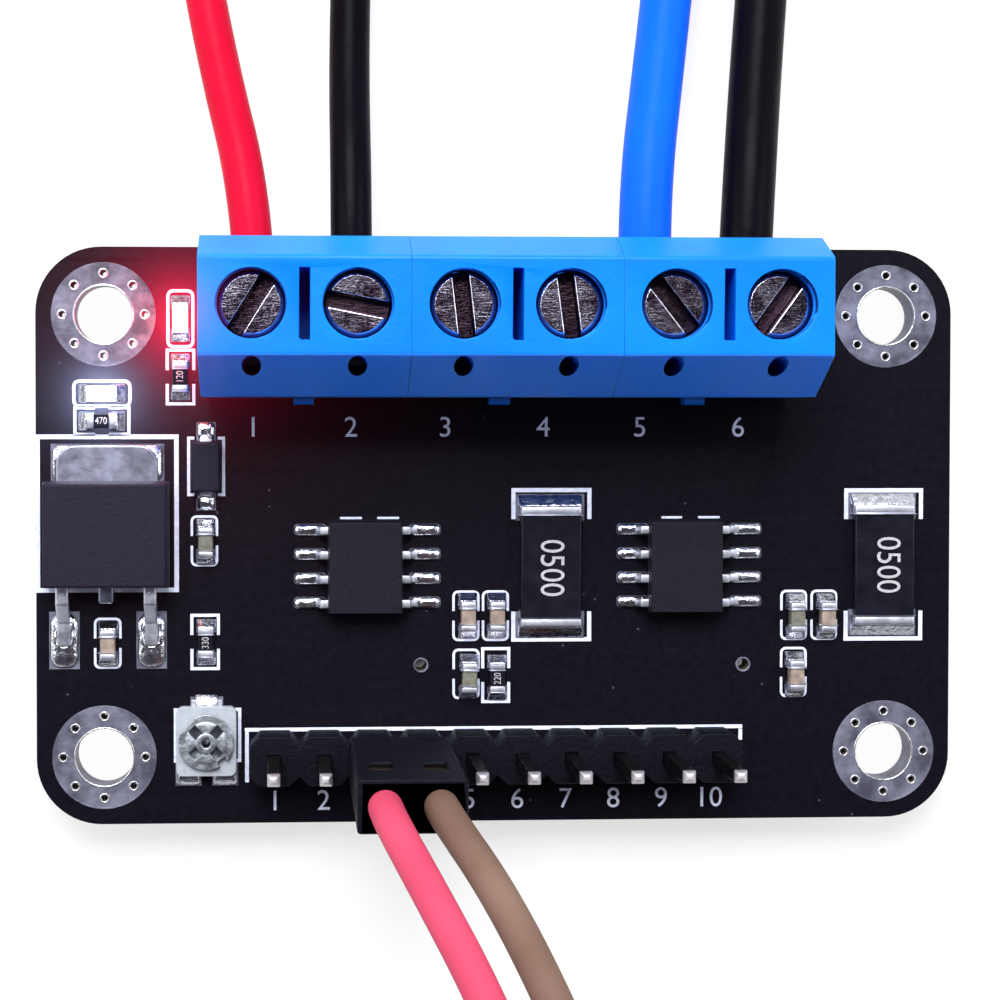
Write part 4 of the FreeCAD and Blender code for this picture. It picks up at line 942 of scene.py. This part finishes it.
for x in (-16.15, -14.25):
    lumps.append(put_down(trimmer_end, (x, -12.42), 180))
lumps.append(put_down(trimmer_end, (-15.2, -8.82), 0))
for prototype in (toe, end, wide_end, mound, round_tab, collar, diode_end, trimmer_end):
    bpy.data.objects.remove(prototype)
joints = joined("solder_lumps", lumps)
joints.data.materials.append(solder.material)
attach(joints, "module")
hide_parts("solder_fillets")


# Sensing resistors: a wide black-coated chip between two tinned end caps, with a plain number on top.
# They lie flat on the board, held by the solder at both ends.
resin = Finish("black_resin", Roughness=0.3, Specular_IOR_Level=0.2)
ripple = resin.noise(0.9 * mm, 3.0)
resin.put("Base Color", resin.blend(
    ripple.ramp(0.3, 0.7), (0.004, 0.004, 0.008, 1), (0.009, 0.009, 0.016, 1),
))
resin.relief(ripple, 0.04 * mm)
softened("sense_resistor_left", "module", resin.material, 0.1)
softened("sense_resistor_right", "module", resin.material, 0.1)
softened("sense_resistor_caps", "module", matt_tin.material, 0.12)

marks = []
for x, y in ((546.5, 566), (885, 564)):
    marks.append(numeral("0500", px(x, y), 1.8, -90, 3.82 * mm, 0.84))


# Chip resistors and capacitors: fired ceramic bodies, slightly rounded, with plated ends.
# The resistors carry a plain number in thin grey ink; the capacitors are bare, tan or grey.
softened("chip_resistors", "module", resin.material, 0.05)
softened("chip_resistor_caps", "module", matt_tin.material, 0.07)
tan = Finish("tan_ceramic", Roughness=0.5)
tan_cloud = tan.noise(0.4 * mm, 3.0)
tan.put("Base Color", tan.blend(tan_cloud.ramp(0.3, 0.7), (0.19, 0.145, 0.12, 1), (0.33, 0.26, 0.22, 1)))
tan.relief(tan_cloud, 0.03 * mm)
softened("capacitors_tan", "module", tan.material, 0.09)
grey = Finish("grey_ceramic", Roughness=0.5)
grey_cloud = grey.noise(0.4 * mm, 3.0)
grey.put("Base Color", grey.blend(grey_cloud.ramp(0.3, 0.7), (0.1, 0.1, 0.08, 1), (0.18, 0.175, 0.14, 1)))
grey.relief(grey_cloud, 0.03 * mm)
softened("capacitors_grey", "module", grey.material, 0.09)
softened("capacitor_caps", "module", matt_tin.material, 0.11)

for words, (x, y, turn) in zip(
    ("120", "470", "330", "220"),
    ((-16.53, 8.26, 90), (-20.59, 5.98, 0), (-15.23, -5.52, 90), (-0.04, -7.46, 90)),
):
    marks.append(numeral(words, (x, y), 0.52, turn, 3.64 * mm, 0.8))
numbers = joined("printed_numbers", marks)
grey_ink = Finish("grey_ink", Roughness=0.6)
grey_ink.put("Base Color", grey_ink.blend(
    grey_ink.noise(0.2 * mm, 4.0, 0.7).ramp(0.3, 0.65), (0.3, 0.29, 0.31, 1), (0.48, 0.46, 0.5, 1),
))
numbers.data.materials.append(grey_ink.material)
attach(numbers, "module")


# Indicator lamps: a white base and a clear lens that is lit from inside, red for one and white for
# the other. A small light above each throws its colour on the board around it.
white_base = Finish("lamp_base", Roughness=0.45)
white_base.put("Base Color", white_base.blend(
    white_base.noise(0.3 * mm), (0.7, 0.7, 0.66, 1), (0.85, 0.85, 0.82, 1),
))
dress(white_base.material, "lamp_bases")
lit_red = Finish("lit_red", Roughness=0.2, Emission_Strength=11.0)
lit_red.put("Base Color", lit_red.blend(lit_red.noise(0.4 * mm), (0.9, 0.08, 0.06, 1), (0.95, 0.2, 0.12, 1)))
lit_red.put("Emission Color", lit_red.blend(
    lit_red.near(red_lamp, 0.8), (1.0, 0.1, 0.05, 1), (1.0, 0.85, 0.7, 1),
))
softened("lamp_lens_red", "module", lit_red.material, 0.14)
lit_white = Finish("lit_white", Roughness=0.2, Emission_Strength=14.0)
lit_white.put("Base Color", lit_white.blend(lit_white.noise(0.4 * mm), (0.8, 0.85, 1, 1), (0.9, 0.93, 1, 1)))
lit_white.put("Emission Color", lit_white.blend(
    lit_white.noise(0.5 * mm), (0.7, 0.82, 1.0, 1), (0.9, 0.95, 1.0, 1),
))
softened("lamp_lens_white", "module", lit_white.material, 0.14)
for glow_name, (x, y), colour in (
    ("red_glow", red_lamp, (1.0, 0.04, 0.03)), ("white_glow", white_lamp, (0.16, 0.18, 0.22)),
):
    bpy.ops.object.light_add(type="POINT", location=(x * mm, y * mm, 5.2 * mm))
    glow = bpy.context.object
    glow.name = glow_name
    glow.data.color = colour
    glow.data.energy = 0.002
    glow.data.shadow_soft_size = 0.4 * mm


# Trimmer: white ceramic base in painted shade, plated terminals and a pressed rotor on a hollow rivet.
# The rotor is turned with a small driver in its crossed slots.
# Painted shade: the white base is coloured grey-blue, as it looks in shade.
trimmer_ceramic_painted_grey = Finish("trimmer_ceramic_painted_grey", Roughness=0.5)
trimmer_ceramic_painted_grey.put("Base Color", trimmer_ceramic_painted_grey.blend(
    trimmer_ceramic_painted_grey.noise(0.4 * mm), (0.27, 0.3, 0.34, 1), (0.42, 0.46, 0.52, 1),
))
softened("trimmer_base", "module", trimmer_ceramic_painted_grey.material, 0.05)
pressed = Finish("pressed_steel", Metallic=1.0, Roughness=0.3)
pressed_cloud = pressed.noise(0.5 * mm, 3.0, 0.6)
worn_sheet = pressed.blend(pressed_cloud.ramp(0.3, 0.7), (0.38, 0.42, 0.46, 1), (0.62, 0.68, 0.74, 1))
sheet_low, sheet_top = 4.04 * mm, 4.14 * mm
rotor_axis = (-15.2, -10.62)
# Painted shade: the rotor's slots and the hole of its rivet are darkened to near black.
painted_slot_shade = 1 - pressed.axis(pressed.place(), "Z").ramp(sheet_low, sheet_top)
painted_hole_shade = pressed.near(rotor_axis, 0.32).ramp(0.45, 0.6)
pressed.put("Base Color", pressed.blend(
    (painted_slot_shade * 0.85 + painted_hole_shade).ramp(0, 1), worn_sheet, (0.02, 0.022, 0.028, 1),
))
pressed.put("Roughness", pressed_cloud * 0.25 + 0.25)
pressed.relief(pressed_cloud, 0.04 * mm)
softened("trimmer_rotor", "trimmer_rotor", pressed.material, 0.025)
softened("trimmer_rivet", "module", pressed.material, 0.03)
softened("trimmer_terminals", "module", matt_tin.material, 0.04)
